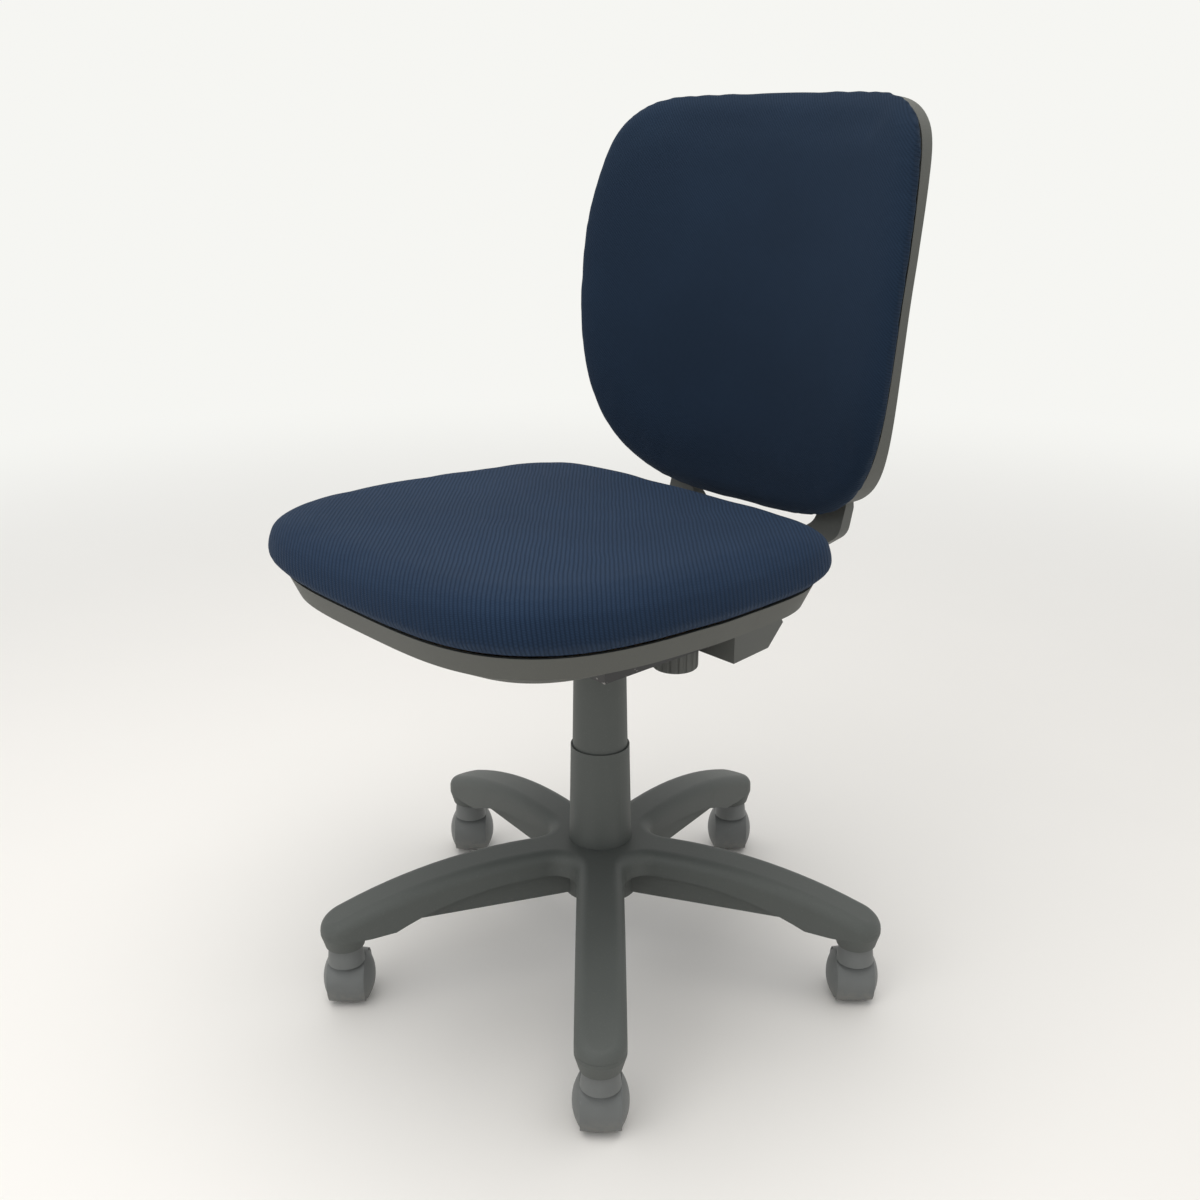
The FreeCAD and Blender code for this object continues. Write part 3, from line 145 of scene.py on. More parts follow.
class StageSettings(bpy.types.PropertyGroup):
    """The camera, the floor and the lamps."""

    lens: bpy.props.FloatProperty(
        name="Lens", description="Focal length on a 36 mm sensor", default=39.9, unit="CAMERA")
    camera_place: bpy.props.FloatVectorProperty(
        name="Camera place", description="Where the camera stands", subtype="TRANSLATION", size=3,
        default=(0.934, -0.839, 0.860))
    camera_turn: bpy.props.FloatVectorProperty(
        name="Camera turn", description="How the camera is turned", subtype="EULER", size=3,
        default=(math.radians(70.4), math.radians(0.15), math.radians(48)))
    floor_colour: bpy.props.FloatVectorProperty(
        name="Floor", description="Colour of the floor", subtype="COLOR", size=3, min=0, max=1,
        default=(0.93, 0.90, 0.86))
    backdrop_colour: bpy.props.FloatVectorProperty(
        name="Backdrop", description="Colour seen behind the chair", subtype="COLOR", size=3, min=0, max=1,
        default=(0.92, 0.92, 0.89))
    sky_strength: bpy.props.FloatProperty(
        name="Sky", description="Strength of the light from all round", default=0.62)
    top_power: bpy.props.FloatProperty(
        name="Top lamp", description="Power of the lamp over the chair", default=30.0, unit="POWER")
    front_power: bpy.props.FloatProperty(
        name="Front lamp", description="Power of the lamp in front of the chair", default=9.0, unit="POWER")


# ------------------------------------------------------------------ finishes

class Term:
    """A value in a finish; sums written on it add the Math nodes that work it out."""

    def __init__(self, finish, socket):
        self.finish = finish
        self.socket = socket

    def math(self, operation, *others):
        return self.finish.add("ShaderNodeMath", {"operation": operation}, [self, *others])

    def __add__(self, other):
        return self.math("ADD", other)

    def __radd__(self, other):
        return self.math("ADD", other)

    def __sub__(self, other):
        return self.math("SUBTRACT", other)

    def __rsub__(self, other):
        return self.finish.add("ShaderNodeMath", {"operation": "SUBTRACT"}, [other, self])

    def __mul__(self, other):
        return self.math("MULTIPLY", other)

    def __rmul__(self, other):
        return self.math("MULTIPLY", other)

    def __truediv__(self, other):
        return self.math("DIVIDE", other)

    def __rtruediv__(self, other):
        return self.finish.add("ShaderNodeMath", {"operation": "DIVIDE"}, [other, self])

    def __pow__(self, other):
        return self.math("POWER", other)

    def wave(self):
        """From 0 to 1 and back as the value passes each whole number."""
        return (self * math.pi).math("SINE").math("ABSOLUTE")

    def between(self, low, high):
        """0 below low, 1 above high, and smooth in between."""
        settings = {"interpolation_type": "SMOOTHSTEP"}
        inputs = {"Value": self, "From Min": low, "From Max": high}
        return self.finish.add("ShaderNodeMapRange", settings, inputs)


class Nodes:
    """The node tree of a material or of the world, filled one node at a time."""

    def __init__(self, owner):
        owner.use_nodes = True
        self.tree = owner.node_tree

    def add(self, kind, settings=None, inputs=(), output=0):
        """Adds a node: its settings come first, then the values or links of its sockets."""
        node = self.tree.nodes.new(kind)
        for name, value in (settings or {}).items():
            setattr(node, name, value)
        pairs = inputs.items() if isinstance(inputs, dict) else enumerate(inputs)
        for key, value in pairs:
            self.feed(node.inputs[key], value)
        return Term(self, node.outputs[output])

    def feed(self, socket, value):
        if isinstance(value, Term):
            self.tree.links.new(value.socket, socket)
        elif socket.type == "RGBA" and len(value) == 3:
            socket.default_value = (*value, 1)
        else:
            socket.default_value = value

    def seen_directly(self):
        """1 for what the camera, a glossy surface or clear material sees, and 0 for soft light."""
        rays = self.tree.nodes.new("ShaderNodeLightPath")
        kinds = ("Is Camera Ray", "Is Glossy Ray", "Is Transmission Ray")
        camera, glossy, clear = (Term(self, rays.outputs[kind]) for kind in kinds)
        return camera.math("MAXIMUM", glossy.math("MAXIMUM", clear))


class Finish(Nodes):
    """A material and the shader that its nodes feed."""

    def __init__(self, name):
        self.material = bpy.data.materials.new(name)
        super().__init__(self.material)
        self.shader = self.tree.nodes["Principled BSDF"]
        self.place = self.add("ShaderNodeTexCoord", output="Object")

    def set(self, **values):
        """Feeds the shader's own sockets, named with underscores."""
        for name, value in values.items():
            self.feed(self.shader.inputs[name.replace("_", " ")], value)

    def split(self, vector):
        """The three parts of a vector."""
        node = self.tree.nodes.new("ShaderNodeSeparateXYZ")
        self.feed(node.inputs[0], vector)
        return [Term(self, node.outputs[k]) for k in range(3)]

    def stretched(self, x, y, z):
        """The place on the piece with each direction stretched by its own amount."""
        return self.add("ShaderNodeMapping", None, {"Vector": self.place, "Scale": (x, y, z)})

    def noise(self, size, detail=2, place=None, roughness=0.5):
        """Cloudy noise from 0 to 1 whose patches are about the size given."""
        inputs = {"Vector": place or self.place, "Scale": 1 / size, "Detail": detail,
                  "Roughness": roughness}
        return self.add("ShaderNodeTexNoise", None, inputs)

    def cells(self, size, place=None):
        """Distance from the middle of the nearest cell, for pits and grain."""
        inputs = {"Vector": place or self.place, "Scale": 1 / size}
        return self.add("ShaderNodeTexVoronoi", {"feature": "F1"}, inputs)

    def blend(self, factor, first, second):
        """A colour that goes from first to second as the factor goes from 0 to 1."""
        node = self.tree.nodes.new("ShaderNodeMix")
        node.data_type = "RGBA"
        for key, value in ((0, factor), (6, first), (7, second)):
            self.feed(node.inputs[key], value)
        return Term(self, node.outputs[2])

    def bump(self, height, distance, strength=1.0):
        """Raises the surface by the height given, where 1 stands for the distance."""
        inputs = {"Height": height, "Distance": distance, "Strength": strength}
        self.set(Normal=self.add("ShaderNodeBump", None, inputs))


def shade(colour, amount):
    """The colour made lighter or darker by a factor."""
    return tuple(min(part * amount, 1.0) for part in colour)


def ribbed_cloth(name, colour, spacing, across, along):
    """Upholstery knit in ribs: across and along are the directions over and down the ribs."""
    finish = Finish(name)
    x, y, z = finish.split(finish.place)
    drift = (finish.noise(0.05, 1) - 0.5) * (spacing * 0.8)
    over = (x * across[0] + y * across[1] + z * across[2] + drift) / spacing
    down = (x * along[0] + y * along[1] + z * along[2]) / (spacing * 0.62)
    staggered = down + over.math("FLOOR") * 0.5
    rib = over.wave() ** 0.7
    stitch = staggered.wave()
    weave = rib * (stitch * 0.45 + 0.55)
    yarn = finish.noise(0.0009, 2)
    worn = finish.noise(0.16, 2).between(0.35, 0.75)
    # Painted light and shade: the crests of the weave take the lighter lit tone, and the grooves between
    # the ribs a painted shade at about half the cloth's colour.
    lit = finish.blend(worn, shade(colour, 1.12), shade(colour, 1.34))
    tone = finish.blend(weave * 0.85 + yarn * 0.15, shade(colour, 0.52), lit)
    finish.set(Base_Color=tone, Roughness=0.98 - weave * 0.16, Sheen_Weight=0.05, Sheen_Roughness=0.45,
               Sheen_Tint=(0.55, 0.68, 0.9, 1), Specular_IOR_Level=0.12)
    finish.bump(weave + yarn * 0.25, spacing * 0.22, 0.7)
    return finish.material


def twilled_cloth(name, colour, spacing, across, along):
    """Close upholstery cloth with fine slanting lines."""
    finish = Finish(name)
    x, y, z = finish.split(finish.place)
    drift = (finish.noise(0.04, 1) - 0.5) * spacing
    over = (x * across[0] + y * across[1] + z * across[2] + drift) / spacing
    down = (x * along[0] + y * along[1] + z * along[2]) / (spacing * 0.7)
    line = over.wave()
    knot = (down + over * 0.5).wave()
    weave = line * 0.6 + knot * 0.4
    yarn = finish.noise(0.0007, 2)
    cloud = finish.noise(0.11, 3).between(0.3, 0.75)
    # Painted light and shade: the crests of the twill take the lighter lit tone, and the grooves between
    # its lines a painted shade at about two thirds of the cloth's colour.
    lit = finish.blend(cloud, shade(colour, 1.10), shade(colour, 1.3))
    tone = finish.blend(weave * 0.8 + yarn * 0.2, shade(colour, 0.62), lit)
    finish.set(Base_Color=tone, Roughness=0.97 - weave * 0.12, Sheen_Weight=0.04, Sheen_Roughness=0.5,
               Sheen_Tint=(0.55, 0.68, 0.9, 1), Specular_IOR_Level=0.12)
    finish.bump(weave + yarn * 0.3, spacing * 0.2, 0.6)
    return finish.material


def moulded_plastic(name, colour, grain, roughness=0.56, scuffed=0.5):
    """Matt moulded plastic with a fine grain, faint cloudiness and light scuffs."""
    finish = Finish(name)
    cloud = finish.noise(0.09, 3)
    pits = finish.cells(grain)
    fine = finish.noise(grain * 0.5, 3)
    speck = finish.noise(grain * 1.7, 1).between(0.62, 0.74)
    rubs = finish.noise(0.012, 4, finish.stretched(1, 1, 0.16)).between(0.60, 0.78)
    lint = finish.noise(0.004, 2, finish.stretched(1, 0.2, 1)).between(0.70, 0.80)
    tone = finish.blend(cloud, shade(colour, 0.92), shade(colour, 1.08))
    tone = finish.blend(speck * 0.22, tone, shade(colour, 1.5))
    tone = finish.blend(rubs * (0.30 * scuffed), tone, shade(colour, 1.55))
    tone = finish.blend(lint * (0.20 * scuffed), tone, shade(colour, 1.9))
    finish.set(Base_Color=tone, Roughness=roughness + rubs * 0.12 + (cloud - 0.5) * 0.08 + pits * 0.05,
               Specular_IOR_Level=0.42)
    finish.bump(pits * 0.8 + fine * 0.6, grain * 0.12, 0.55)
    return finish.material


def caster_plastic(name, colour, grain):
    """Harder plastic, dusty low down where it runs near the floor."""
    finish = Finish(name)
    height = finish.split(finish.place)[2]
    cloud = finish.noise(0.02, 3)
    dust = (1 - height.between(0.004, 0.03)) * finish.noise(0.006, 4).between(0.38, 0.62)
    scratch = finish.noise(0.003, 3, finish.stretched(1, 1, 0.1)).between(0.66, 0.76)
    pits = finish.cells(grain)
    tone = finish.blend(cloud, shade(colour, 0.88), shade(colour, 1.12))
    tone = finish.blend(scratch * 0.25, tone, shade(colour, 1.7))
    tone = finish.blend(dust * 0.35, tone, (0.30, 0.28, 0.25))
    finish.set(Base_Color=tone, Roughness=0.46 + dust * 0.3 + scratch * 0.12, Specular_IOR_Level=0.48)
    finish.bump(pits + cloud * 0.5, grain * 0.08, 0.5)
    return finish.material


def plated_steel(name, colour, roughness):
    """Zinc-plated steel with spangle and fine drawing marks."""
    finish = Finish(name)
    spangle = finish.cells(0.007)
    marks = finish.noise(0.0012, 3, finish.stretched(1, 0.08, 1))
    stain = finish.noise(0.03, 4).between(0.5, 0.75)
    tone = finish.blend(spangle.between(0.1, 0.8), shade(colour, 0.86), shade(colour, 1.1))
    tone = finish.blend(stain * 0.35, tone, shade(colour, 0.6))
    finish.set(Base_Color=tone, Metallic=0.95 - stain * 0.15,
               Roughness=roughness + marks * 0.14 + stain * 0.12)
    finish.bump(marks, 0.00006, 0.6)
    return finish.material


def turned_steel(name, colour, roughness):
    """Bright turned steel with rings of tool marks and a film of grease."""
    finish = Finish(name)
    rings = finish.noise(0.0006, 2, finish.stretched(0.05, 0.05, 1))
    grease = finish.noise(0.009, 3).between(0.5, 0.7)
    tone = finish.blend(rings, shade(colour, 0.85), shade(colour, 1.08))
    tone = finish.blend(grease * 0.4, tone, (0.16, 0.13, 0.09))
    finish.set(Base_Color=tone, Metallic=1.0 - grease * 0.35,
               Roughness=roughness + rings * 0.12 + grease * 0.1)
    finish.bump(rings, 0.00004, 0.6)
    return finish.material


def painted_steel(name, colour):
    """Black painted steel with a slight orange peel and worn spots."""
    finish = Finish(name)
    peel = finish.noise(0.0022, 2)
    worn = finish.noise(0.006, 5).between(0.66, 0.74)
    tone = finish.blend(peel, shade(colour, 0.85), shade(colour, 1.2))
    tone = finish.blend(worn, tone, (0.34, 0.33, 0.32))
    finish.set(Base_Color=tone, Metallic=worn * 0.8, Roughness=0.34 + peel * 0.1 + worn * 0.15)
    finish.bump(peel - worn * 0.5, 0.00012, 0.6)
    return finish.material


def bush_plastic(name, colour):
    """Waxy bearing plastic with turning lines."""
    finish = Finish(name)
    cloud = finish.noise(0.012, 3)
    lines = finish.noise(0.0008, 1, finish.stretched(0.04, 0.04, 1))
    tone = finish.blend(cloud, shade(colour, 0.9), colour)
    finish.set(Base_Color=tone, Roughness=0.42 + lines * 0.12)
    finish.bump(lines, 0.00005, 0.5)
    return finish.material


def plywood(name, pale, dark):
    """Plywood: long grain on its faces and thin plies through its thickness."""
    finish = Finish(name)
    height = finish.split(finish.place)[2]
    grain = finish.noise(0.007, 4, finish.stretched(1, 0.06, 1))
    pores = finish.noise(0.0016, 2, finish.stretched(1, 0.05, 1)).between(0.6, 0.75)
    plies = (height / 0.0032).wave()
    tone = finish.blend(grain, pale, dark)
    tone = finish.blend(pores * 0.5, tone, shade(dark, 0.6))
    tone = finish.blend(plies * 0.25, tone, shade(dark, 0.8))
    finish.set(Base_Color=tone, Roughness=0.62 + grain * 0.2)
    finish.bump(grain + pores, 0.0002, 0.5)
    return finish.material


def give(material, names):
    """Puts a finish on pieces of the frame."""
    for name in names:
        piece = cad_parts[name]
        if not piece.material_slots:
            piece.data.materials.append(material)
        for slot in piece.material_slots:
            slot.material = material


# ------------------------------------------------------------------ mesh helpers

MERGE_DISTANCE = 0.00002
CLOTH_FRAMES = 20


def alone(piece):
    """Makes a piece the only selected object, and the active one."""
    bpy.ops.object.select_all(action="DESELECT")
    piece.select_set(True)
    bpy.context.view_layer.objects.active = piece


def modify(piece, kind, **settings):
    """Adds a modifier with the settings given and applies it."""
    alone(piece)
    modifier = piece.modifiers.new(kind.lower(), kind)
    for name, value in settings.items():
        setattr(modifier, name, value)
    bpy.ops.object.modifier_apply(modifier=modifier.name)


def smooth_shaded(piece):
    alone(piece)
    bpy.ops.object.shade_smooth()


def points_of(piece):
    """The places of a piece's vertices, one row each."""
    flat = np.empty(len(piece.data.vertices) * 3)
    piece.data.vertices.foreach_get("co", flat)
    return flat.reshape(-1, 3)


def move_points(piece, points):
    piece.data.vertices.foreach_set("co", points.reshape(-1))
    piece.data.update()


def copy_of(node, name):
    """A merged copy of a solid of the frame, to be worked on."""
    piece = bpy.data.objects.new(name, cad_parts[node].data.copy())
    piece.data.materials.clear()
    bpy.context.scene.collection.objects.link(piece)
    alone(piece)
    bpy.ops.object.mode_set(mode="EDIT")
    bpy.ops.mesh.select_all(action="SELECT")
    bpy.ops.mesh.remove_doubles(threshold=MERGE_DISTANCE)
    bpy.ops.mesh.normals_make_consistent(inside=False)
    bpy.ops.object.mode_set(mode="OBJECT")
    return piece


def edge_line(points, axes):
    """The outline of a rounded piece seen along the axis that isn't given."""
    flat = [Vector(point) for point in points[:, axes]]
    return np.array([flat[k] for k in convex_hull_2d(flat)])


def inset_of(points, axes, line):
    """How far each point lies in from an outline."""
    places = points[:, axes]
    nearest = np.full(len(places), np.inf)
    for start, end in zip(line, np.roll(line, -1, axis=0)):
        run = end - start
        length = max(float(run @ run), 1e-12)
        along = np.clip((places - start) @ run / length, 0, 1)
        gap = np.linalg.norm(places - start - along[:, None] * run, axis=1)
        nearest = np.minimum(nearest, gap)
    return nearest


def push_out(points, axes, middle, amounts):
    """Moves each point away from a middle by its own amount; an amount below 0 pulls it in."""
    outward = points[:, axes] - middle
    outward /= np.maximum(np.linalg.norm(outward, axis=1, keepdims=True), 1e-9)
    points[:, axes] += outward * amounts[:, None]


def smooth_step(values, low, high):
    part = np.clip((values - low) / (high - low), 0, 1)
    return part * part * (3 - 2 * part)


def soften(piece, rise, rounds):
    """Smooths a cushion above its seam: rise is each point's height over the seam's face."""
    before = points_of(piece)
    modify(piece, "SMOOTH", factor=0.5, iterations=rounds)
    share = smooth_step(rise, 0.001, 0.008)[:, None]
    move_points(piece, before + (points_of(piece) - before) * share)


def evened(piece, shift, held, rounds=14):
    """Shares each point's movement with its neighbours, as the foam under the cloth does."""
    ends = np.empty(len(piece.data.edges) * 2, dtype=np.int32)
    piece.data.edges.foreach_get("vertices", ends)
    first, second = ends.reshape(-1, 2).T
    neighbours = np.bincount(ends, minlength=len(shift))[:, None]
    free = 1.0 - held[:, None]
    for _ in range(rounds):
        total = np.zeros_like(shift)
        np.add.at(total, first, shift[second])
        np.add.at(total, second, shift[first])
        shift = (shift + total / neighbours) / 2 * free
    return shift


def swell(piece, held, pressure, reach):
    """Swells a cushion in a short cloth run: held points stay, and none moves beyond reach."""
    before = points_of(piece)
    group = piece.vertex_groups.new(name="held")
    group.add([int(k) for k in np.flatnonzero(held)], 1.0, "REPLACE")
    cloth = piece.modifiers.new("padding", "CLOTH")
    cloth.settings.use_pressure = True
    cloth.settings.uniform_pressure_force = pressure
    cloth.settings.vertex_group_mass = "held"
    cloth.settings.effector_weights.gravity = 0
    cloth.settings.quality = 4
    cloth.settings.tension_stiffness = 12
    cloth.settings.compression_stiffness = 12
    cloth.settings.bending_stiffness = 2
    cloth.collision_settings.use_collision = False
    cloth.point_cache.frame_start = 1
    cloth.point_cache.frame_end = CLOTH_FRAMES
    scene = bpy.context.scene
    for number in range(1, CLOTH_FRAMES + 1):
        scene.frame_set(number)
    alone(piece)
    bpy.ops.object.modifier_apply(modifier="padding")
    scene.frame_set(1)
    piece.vertex_groups.clear()
    shift = points_of(piece) - before
    length = np.linalg.norm(shift, axis=1, keepdims=True)
    shift *= np.minimum(1, reach / np.maximum(length, 1e-9))
    move_points(piece, before + evened(piece, shift, held))


# ------------------------------------------------------------------ cushions

SEAT_SEAM = 0.462
SEAT_MIDDLE = -0.043
SEAT_FALL = math.tan(math.radians(1.8))
SEAM_HELD = 0.006
SEAT_RIM_WIDTH = 0.016
BACK_RIM_WIDTH = 0.014
RAY_INSET = 0.003


def above_seam(points):
    """Height of each point over the seat's seam, which falls towards the back."""
    return points[:, 2] - SEAT_SEAM + SEAT_FALL * (points[:, 1] - SEAT_MIDDLE)


def at_seam(distance):
    """1 at a cushion's seam and 0 a few millimetres from it."""
    return 1 - smooth_step(distance, 0.0005, 0.0045)


class CHAIR_OT_seat_cushion(bpy.types.Operator):
    """Models the seat cushion over its solid in the frame"""
    bl_idname = "chair.seat_cushion"
    bl_label = "Seat cushion"

    def execute(self, context):
        wish = context.scene.chair_cushions
        seat = copy_of("seat_cushion", "padded_seat")
        line = edge_line(points_of(seat), [0, 1])
        centre = np.array([0, SEAT_MIDDLE])
        modify(seat, "REMESH", mode="VOXEL", voxel_size=wish.voxel)
        soften(seat, above_seam(points_of(seat)), 5)
        points = points_of(seat)
        height = above_seam(points)
        middle = smooth_step(inset_of(points, [0, 1], line), 0.01, 0.17)
        points[:, 2] += smooth_step(height, 0.012, 0.034) * (wish.rise + middle * wish.crown)
        bulge = smooth_step(height, 0.001, 0.014) * (1 - 0.75 * smooth_step(height, 0.030, 0.062))
        outer = 1 - smooth_step(inset_of(points, [0, 1], line), 0.015, 0.09)
        push_out(points, [0, 1], centre, bulge * outer * wish.side_fill)
        move_points(seat, points)
        swell(seat, height < SEAM_HELD, wish.pressure, wish.swell)
        points = points_of(seat)
        height = above_seam(points)
        rim = at_seam(height) * (inset_of(points, [0, 1], line) < SEAT_RIM_WIDTH)
        push_out(points, [0, 1], centre, -rim * wish.tuck)
        move_points(seat, points)
        modify(seat, "SUBSURF", levels=1, render_levels=1)
        smooth_shaded(seat)
        turn = wish.rib_angle
        across = (math.cos(turn), math.sin(turn), 0.12)
        along = (-math.sin(turn), math.cos(turn), 1.0)
        seat.data.materials.append(
            ribbed_cloth("seat_cloth", wish.seat_colour, wish.rib_spacing, across, along))
        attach(seat, "lift")
        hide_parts("seat_cushion")
        return {"FINISHED"}


class CHAIR_OT_back_cushion(bpy.types.Operator):
    """Models the back cushion over its solid in the frame"""
    bl_idname = "chair.back_cushion"
    bl_label = "Back cushion"

    def execute(self, context):
        wish = context.scene.chair_cushions
        back = copy_of("back_cushion", "padded_back")
        line = edge_line(points_of(back), [0, 2])
        mesh = back.data
        solid = BVHTree.FromPolygons([v.co for v in mesh.vertices], [p.vertices for p in mesh.polygons])
        modify(back, "REMESH", mode="VOXEL", voxel_size=wish.voxel)
        points = points_of(back)
        inset = inset_of(points, [0, 2], line)
        middle = np.array([0, (BACK_BOX[0][2] + BACK_BOX[1][2]) / 2])
        front = np.empty(len(points))
        rear = np.empty(len(points))
        for index, (x, y, z) in enumerate(points):
            inward = Vector((middle[0] - x, 0, middle[1] - z)).normalized() * RAY_INSET
            start = Vector((x, 0, z)) + inward
            hit = solid.ray_cast(start, Vector((0, 1, 0)))[0]
            far = solid.ray_cast(start + Vector((0, 1, 0)), Vector((0, -1, 0)))[0]
            front[index] = hit.y if hit else y
            rear[index] = far.y if far else y
        part = np.clip((rear - points[:, 1]) / np.maximum(rear - front, 1e-4), 0, 1)
        across = wish.back_round_across
        bend = np.clip((across - inset) / across, 0, 1)
        fall = wish.back_round_deep * (1 - np.sqrt(1 - bend ** 2))
        points[:, 1] += part * fall
        move_points(back, points)
        modify(back, "REMESH", mode="VOXEL", voxel_size=wish.voxel)
        soften(back, self.behind(points_of(back), solid, middle), 5)
        points = points_of(back)
        near = self.behind(points, solid, middle)
        outer = 1 - smooth_step(inset_of(points, [0, 2], line), 0.010, 0.08)
        push_out(points, [0, 2], middle, smooth_step(near, 0.001, 0.010) * outer * wish.back_side_fill)
        move_points(back, points)
        swell(back, near < SEAM_HELD, wish.pressure, wish.swell)
        points = points_of(back)
        near = self.behind(points, solid, middle)
        rim = at_seam(near) * (inset_of(points, [0, 2], line) < BACK_RIM_WIDTH)
        push_out(points, [0, 2], middle, -rim * wish.tuck)
        move_points(back, points)
        modify(back, "SUBSURF", levels=1, render_levels=1)
        smooth_shaded(back)
        slant = math.sqrt(0.5)
        back.data.materials.append(twilled_cloth(
            "back_cloth", wish.back_colour, wish.twill_spacing, (slant, 0.1, slant), (-slant, 0.1, slant)))
        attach(back, "recline")
        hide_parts("back_cushion")
        return {"FINISHED"}

    def behind(self, points, solid, middle):
        """How far each point stands in front of the cushion's rear face."""
        gaps = np.empty(len(points))
        for index, (x, y, z) in enumerate(points):
            inward = Vector((middle[0] - x, 0, middle[1] - z)).normalized() * RAY_INSET
            hit = solid.ray_cast(Vector((x, 1, z)) + inward, Vector((0, -1, 0)))[0]
            gaps[index] = (hit.y if hit else y) - y
        return gaps


# ------------------------------------------------------------------ finishes on the frame

class CHAIR_OT_plastics(bpy.types.Operator):
    """Gives the moulded pieces of the frame their finishes"""
    bl_idname = "chair.plastics"
    bl_label = "Moulded pieces"

    def execute(self, context):
        wish = context.scene.chair_plastics
        give(moulded_plastic("base_plastic", wish.base_colour, wish.grain, 0.54, 0.6), BASE_PIECES)
        give(moulded_plastic("shell_plastic", wish.shell_colour, wish.grain, 0.60, 0.35), SHELL_PIECES)
        give(moulded_plastic("under_plastic", wish.under_colour, wish.grain, 0.58, 0.3), UNDER_PIECES)
        casters = [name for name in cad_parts
                   if name.startswith(("caster_hood", "caster_wheel"))]
        give(caster_plastic("caster_plastic", wish.caster_colour, wish.grain), casters)
        return {"FINISHED"}


class CHAIR_OT_inner_parts(bpy.types.Operator):
    """Gives the metal, bearing and wooden pieces of the frame their finishes"""
    bl_idname = "chair.inner_parts"
    bl_label = "Inner pieces"

    def execute(self, context):
        axles = [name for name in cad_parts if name.startswith("caster_axle")]
        give(plated_steel("zinc_plate", (0.56, 0.57, 0.58), 0.36), ZINC_PIECES)
        give(turned_steel("bright_steel_finish", (0.62, 0.61, 0.60), 0.2), BRIGHT_PIECES + tuple(axles))
        give(painted_steel("black_paint", (0.022, 0.022, 0.023)), BLACK_PIECES)
        give(bush_plastic("bearing_plastic", (0.55, 0.54, 0.50)), BUSH_PIECES)
        give(plywood("pan_plywood", (0.55, 0.40, 0.25), (0.40, 0.27, 0.15)), WOOD_PIECES)
        return {"FINISHED"}


# ------------------------------------------------------------------ studio

SKY_COLOUR = (0.96, 0.98, 1.0)


def lamp(name, place, target, size, power, colour):
    """A soft square lamp turned towards a target."""
    light = bpy.data.lights.new(name, "AREA")
    light.shape = "SQUARE"
    light.size = size
    light.energy = power
    light.color = colour
    item = bpy.data.objects.new(name, light)
    item.location = place
    item.rotation_euler = (Vector(target) - Vector(place)).to_track_quat("-Z", "Y").to_euler()
    bpy.context.scene.collection.objects.link(item)


def floor_finish(colour, backdrop):
    """A pale floor that fades into the backdrop away from the chair."""
    finish = Finish("pale_floor")
    x, y, z = finish.split(finish.place)
    far = ((x * x + y * y) ** 0.5).between(0.9, 3.2)
    mottle = finish.noise(0.3, 3)
    grit = finish.noise(0.004, 3)
    tone = finish.blend(mottle, shade(colour, 0.985), shade(colour, 1.01))
    finish.set(Base_Color=tone, Roughness=0.5 + grit * 0.12, Specular_IOR_Level=0.3)
    finish.bump(grit, 0.0001, 0.3)
    glow = finish.add("ShaderNodeEmission", None, {"Color": backdrop, "Strength": 1.0})
    surface = Term(finish, finish.shader.outputs[0])
    mixed = finish.add("ShaderNodeMixShader", None, [far * finish.seen_directly(), surface, glow])
    finish.feed(finish.tree.nodes["Material Output"].inputs["Surface"], mixed)
    return finish.material


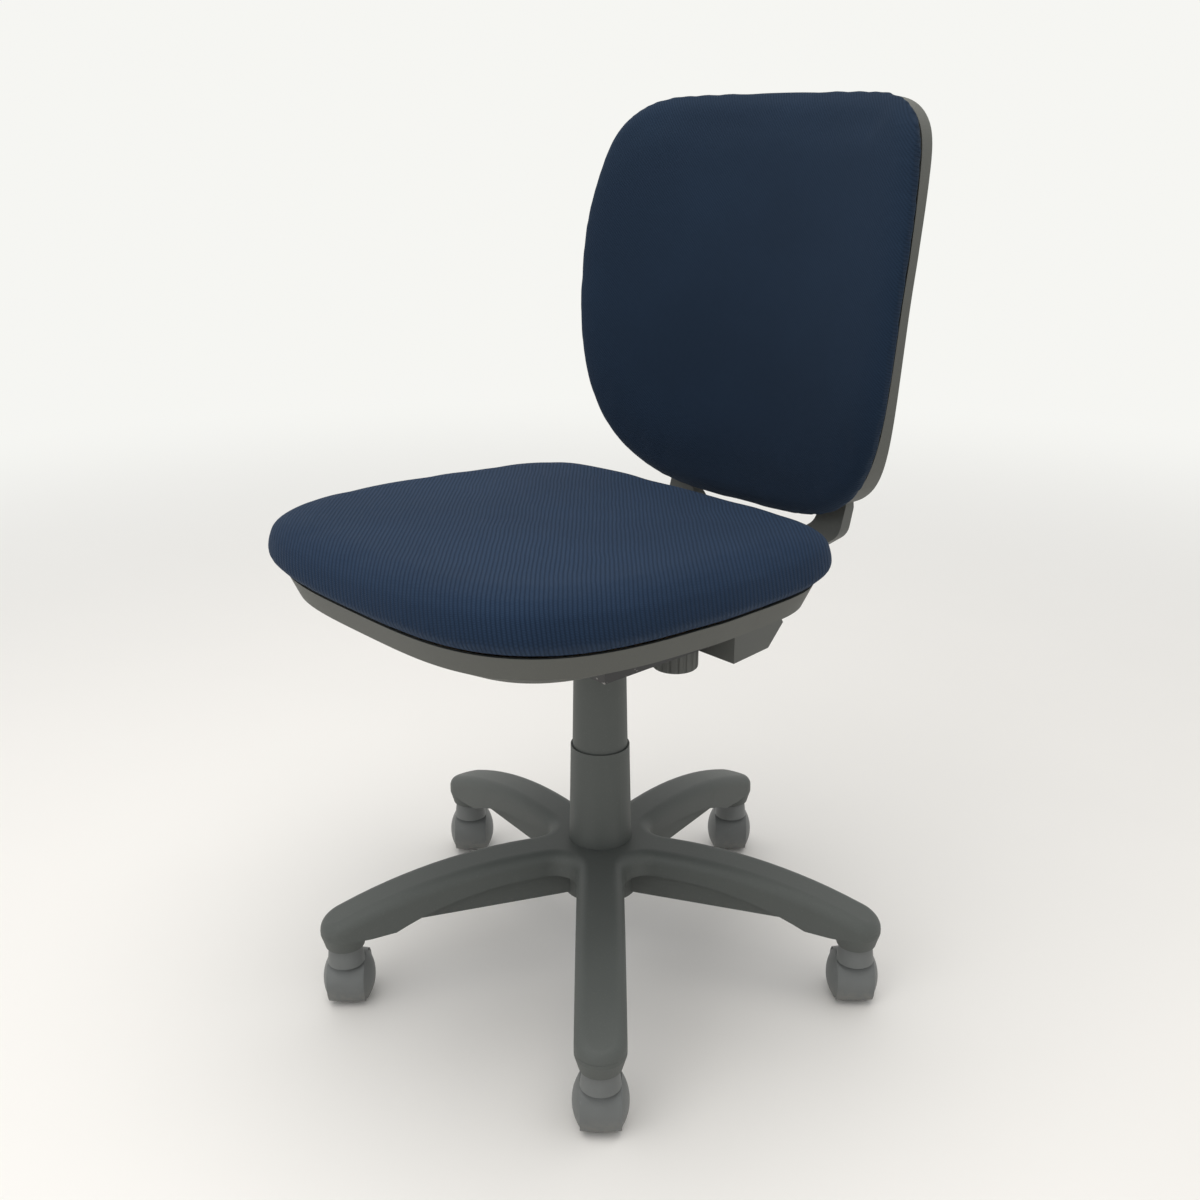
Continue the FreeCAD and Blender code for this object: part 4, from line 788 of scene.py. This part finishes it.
class CHAIR_OT_studio(bpy.types.Operator):
    """Sets up the floor, the lamps, the backdrop and the camera"""
    bl_idname = "chair.studio"
    bl_label = "Studio"

    def execute(self, context):
        wish = context.scene.chair_stage
        scene = context.scene
        bpy.ops.object.select_all(action="DESELECT")
        bpy.ops.mesh.primitive_plane_add(size=16, location=(0, 0, 0))
        floor = context.object
        floor.name = "floor"
        floor.data.materials.append(floor_finish(wish.floor_colour, wish.backdrop_colour))
        lamp("top_lamp", (0.1, -0.3, 2.3), (0, 0, 0.4), 2.2, wish.top_power, (1.0, 0.985, 0.95))
        lamp("front_lamp", (0.3, -2.4, 1.5), (0, 0, 0.5), 1.6, wish.front_power, (0.97, 0.985, 1.0))
        self.light_all_round(scene, wish)
        data = bpy.data.cameras.new("camera")
        data.lens = wish.lens
        data.sensor_width = 36
        camera = bpy.data.objects.new("camera", data)
        camera.location = wish.camera_place
        camera.rotation_euler = wish.camera_turn
        scene.collection.objects.link(camera)
        scene.camera = camera
        scene.view_settings.view_transform = "Standard"
        return {"FINISHED"}

    def light_all_round(self, scene, wish):
        """An even sky, seen as the backdrop's colour."""
        scene.world = bpy.data.worlds.new("studio_world")
        nodes = Nodes(scene.world)
        sky = nodes.add("ShaderNodeBackground", None, {"Color": SKY_COLOUR, "Strength": wish.sky_strength})
        seen = nodes.add("ShaderNodeBackground", None, {"Color": wish.backdrop_colour, "Strength": 1.0})
        mixed = nodes.add("ShaderNodeMixShader", None, [nodes.seen_directly(), sky, seen])
        nodes.feed(nodes.tree.nodes["World Output"].inputs["Surface"], mixed)


# ------------------------------------------------------------------ add-on

class CHAIR_PT_panel(bpy.types.Panel):
    """Lists the steps that build the chair's looks"""
    bl_idname = "CHAIR_PT_panel"
    bl_label = "Office Chair"
    bl_space_type = "VIEW_3D"
    bl_region_type = "UI"
    bl_category = "Office Chair"

    def draw(self, context):
        for key in GROUPS:
            group = getattr(context.scene, key)
            column = self.layout.column()
            for name in group.bl_rna.properties.keys():
                if name not in ("rna_type", "name"):
                    column.prop(group, name)
        for step in STEPS:
            self.layout.operator(step.bl_idname)


STEPS = (CHAIR_OT_studio, CHAIR_OT_plastics, CHAIR_OT_inner_parts, CHAIR_OT_seat_cushion,
         CHAIR_OT_back_cushion)
CLASSES = (CushionSettings, PlasticSettings, StageSettings, *STEPS, CHAIR_PT_panel)
GROUPS = {"chair_cushions": CushionSettings, "chair_plastics": PlasticSettings,
          "chair_stage": StageSettings}


def register():
    for item in CLASSES:
        bpy.utils.register_class(item)
    for name, group in GROUPS.items():
        setattr(bpy.types.Scene, name, bpy.props.PointerProperty(type=group))


def unregister():
    for name in GROUPS:
        delattr(bpy.types.Scene, name)
    for item in reversed(CLASSES):
        bpy.utils.unregister_class(item)


def main():
    register()
    bpy.ops.chair.studio()
    bpy.ops.chair.plastics()
    bpy.ops.chair.inner_parts()
    bpy.ops.chair.seat_cushion()
    bpy.ops.chair.back_cushion()


if __name__ == "__main__":
    main()
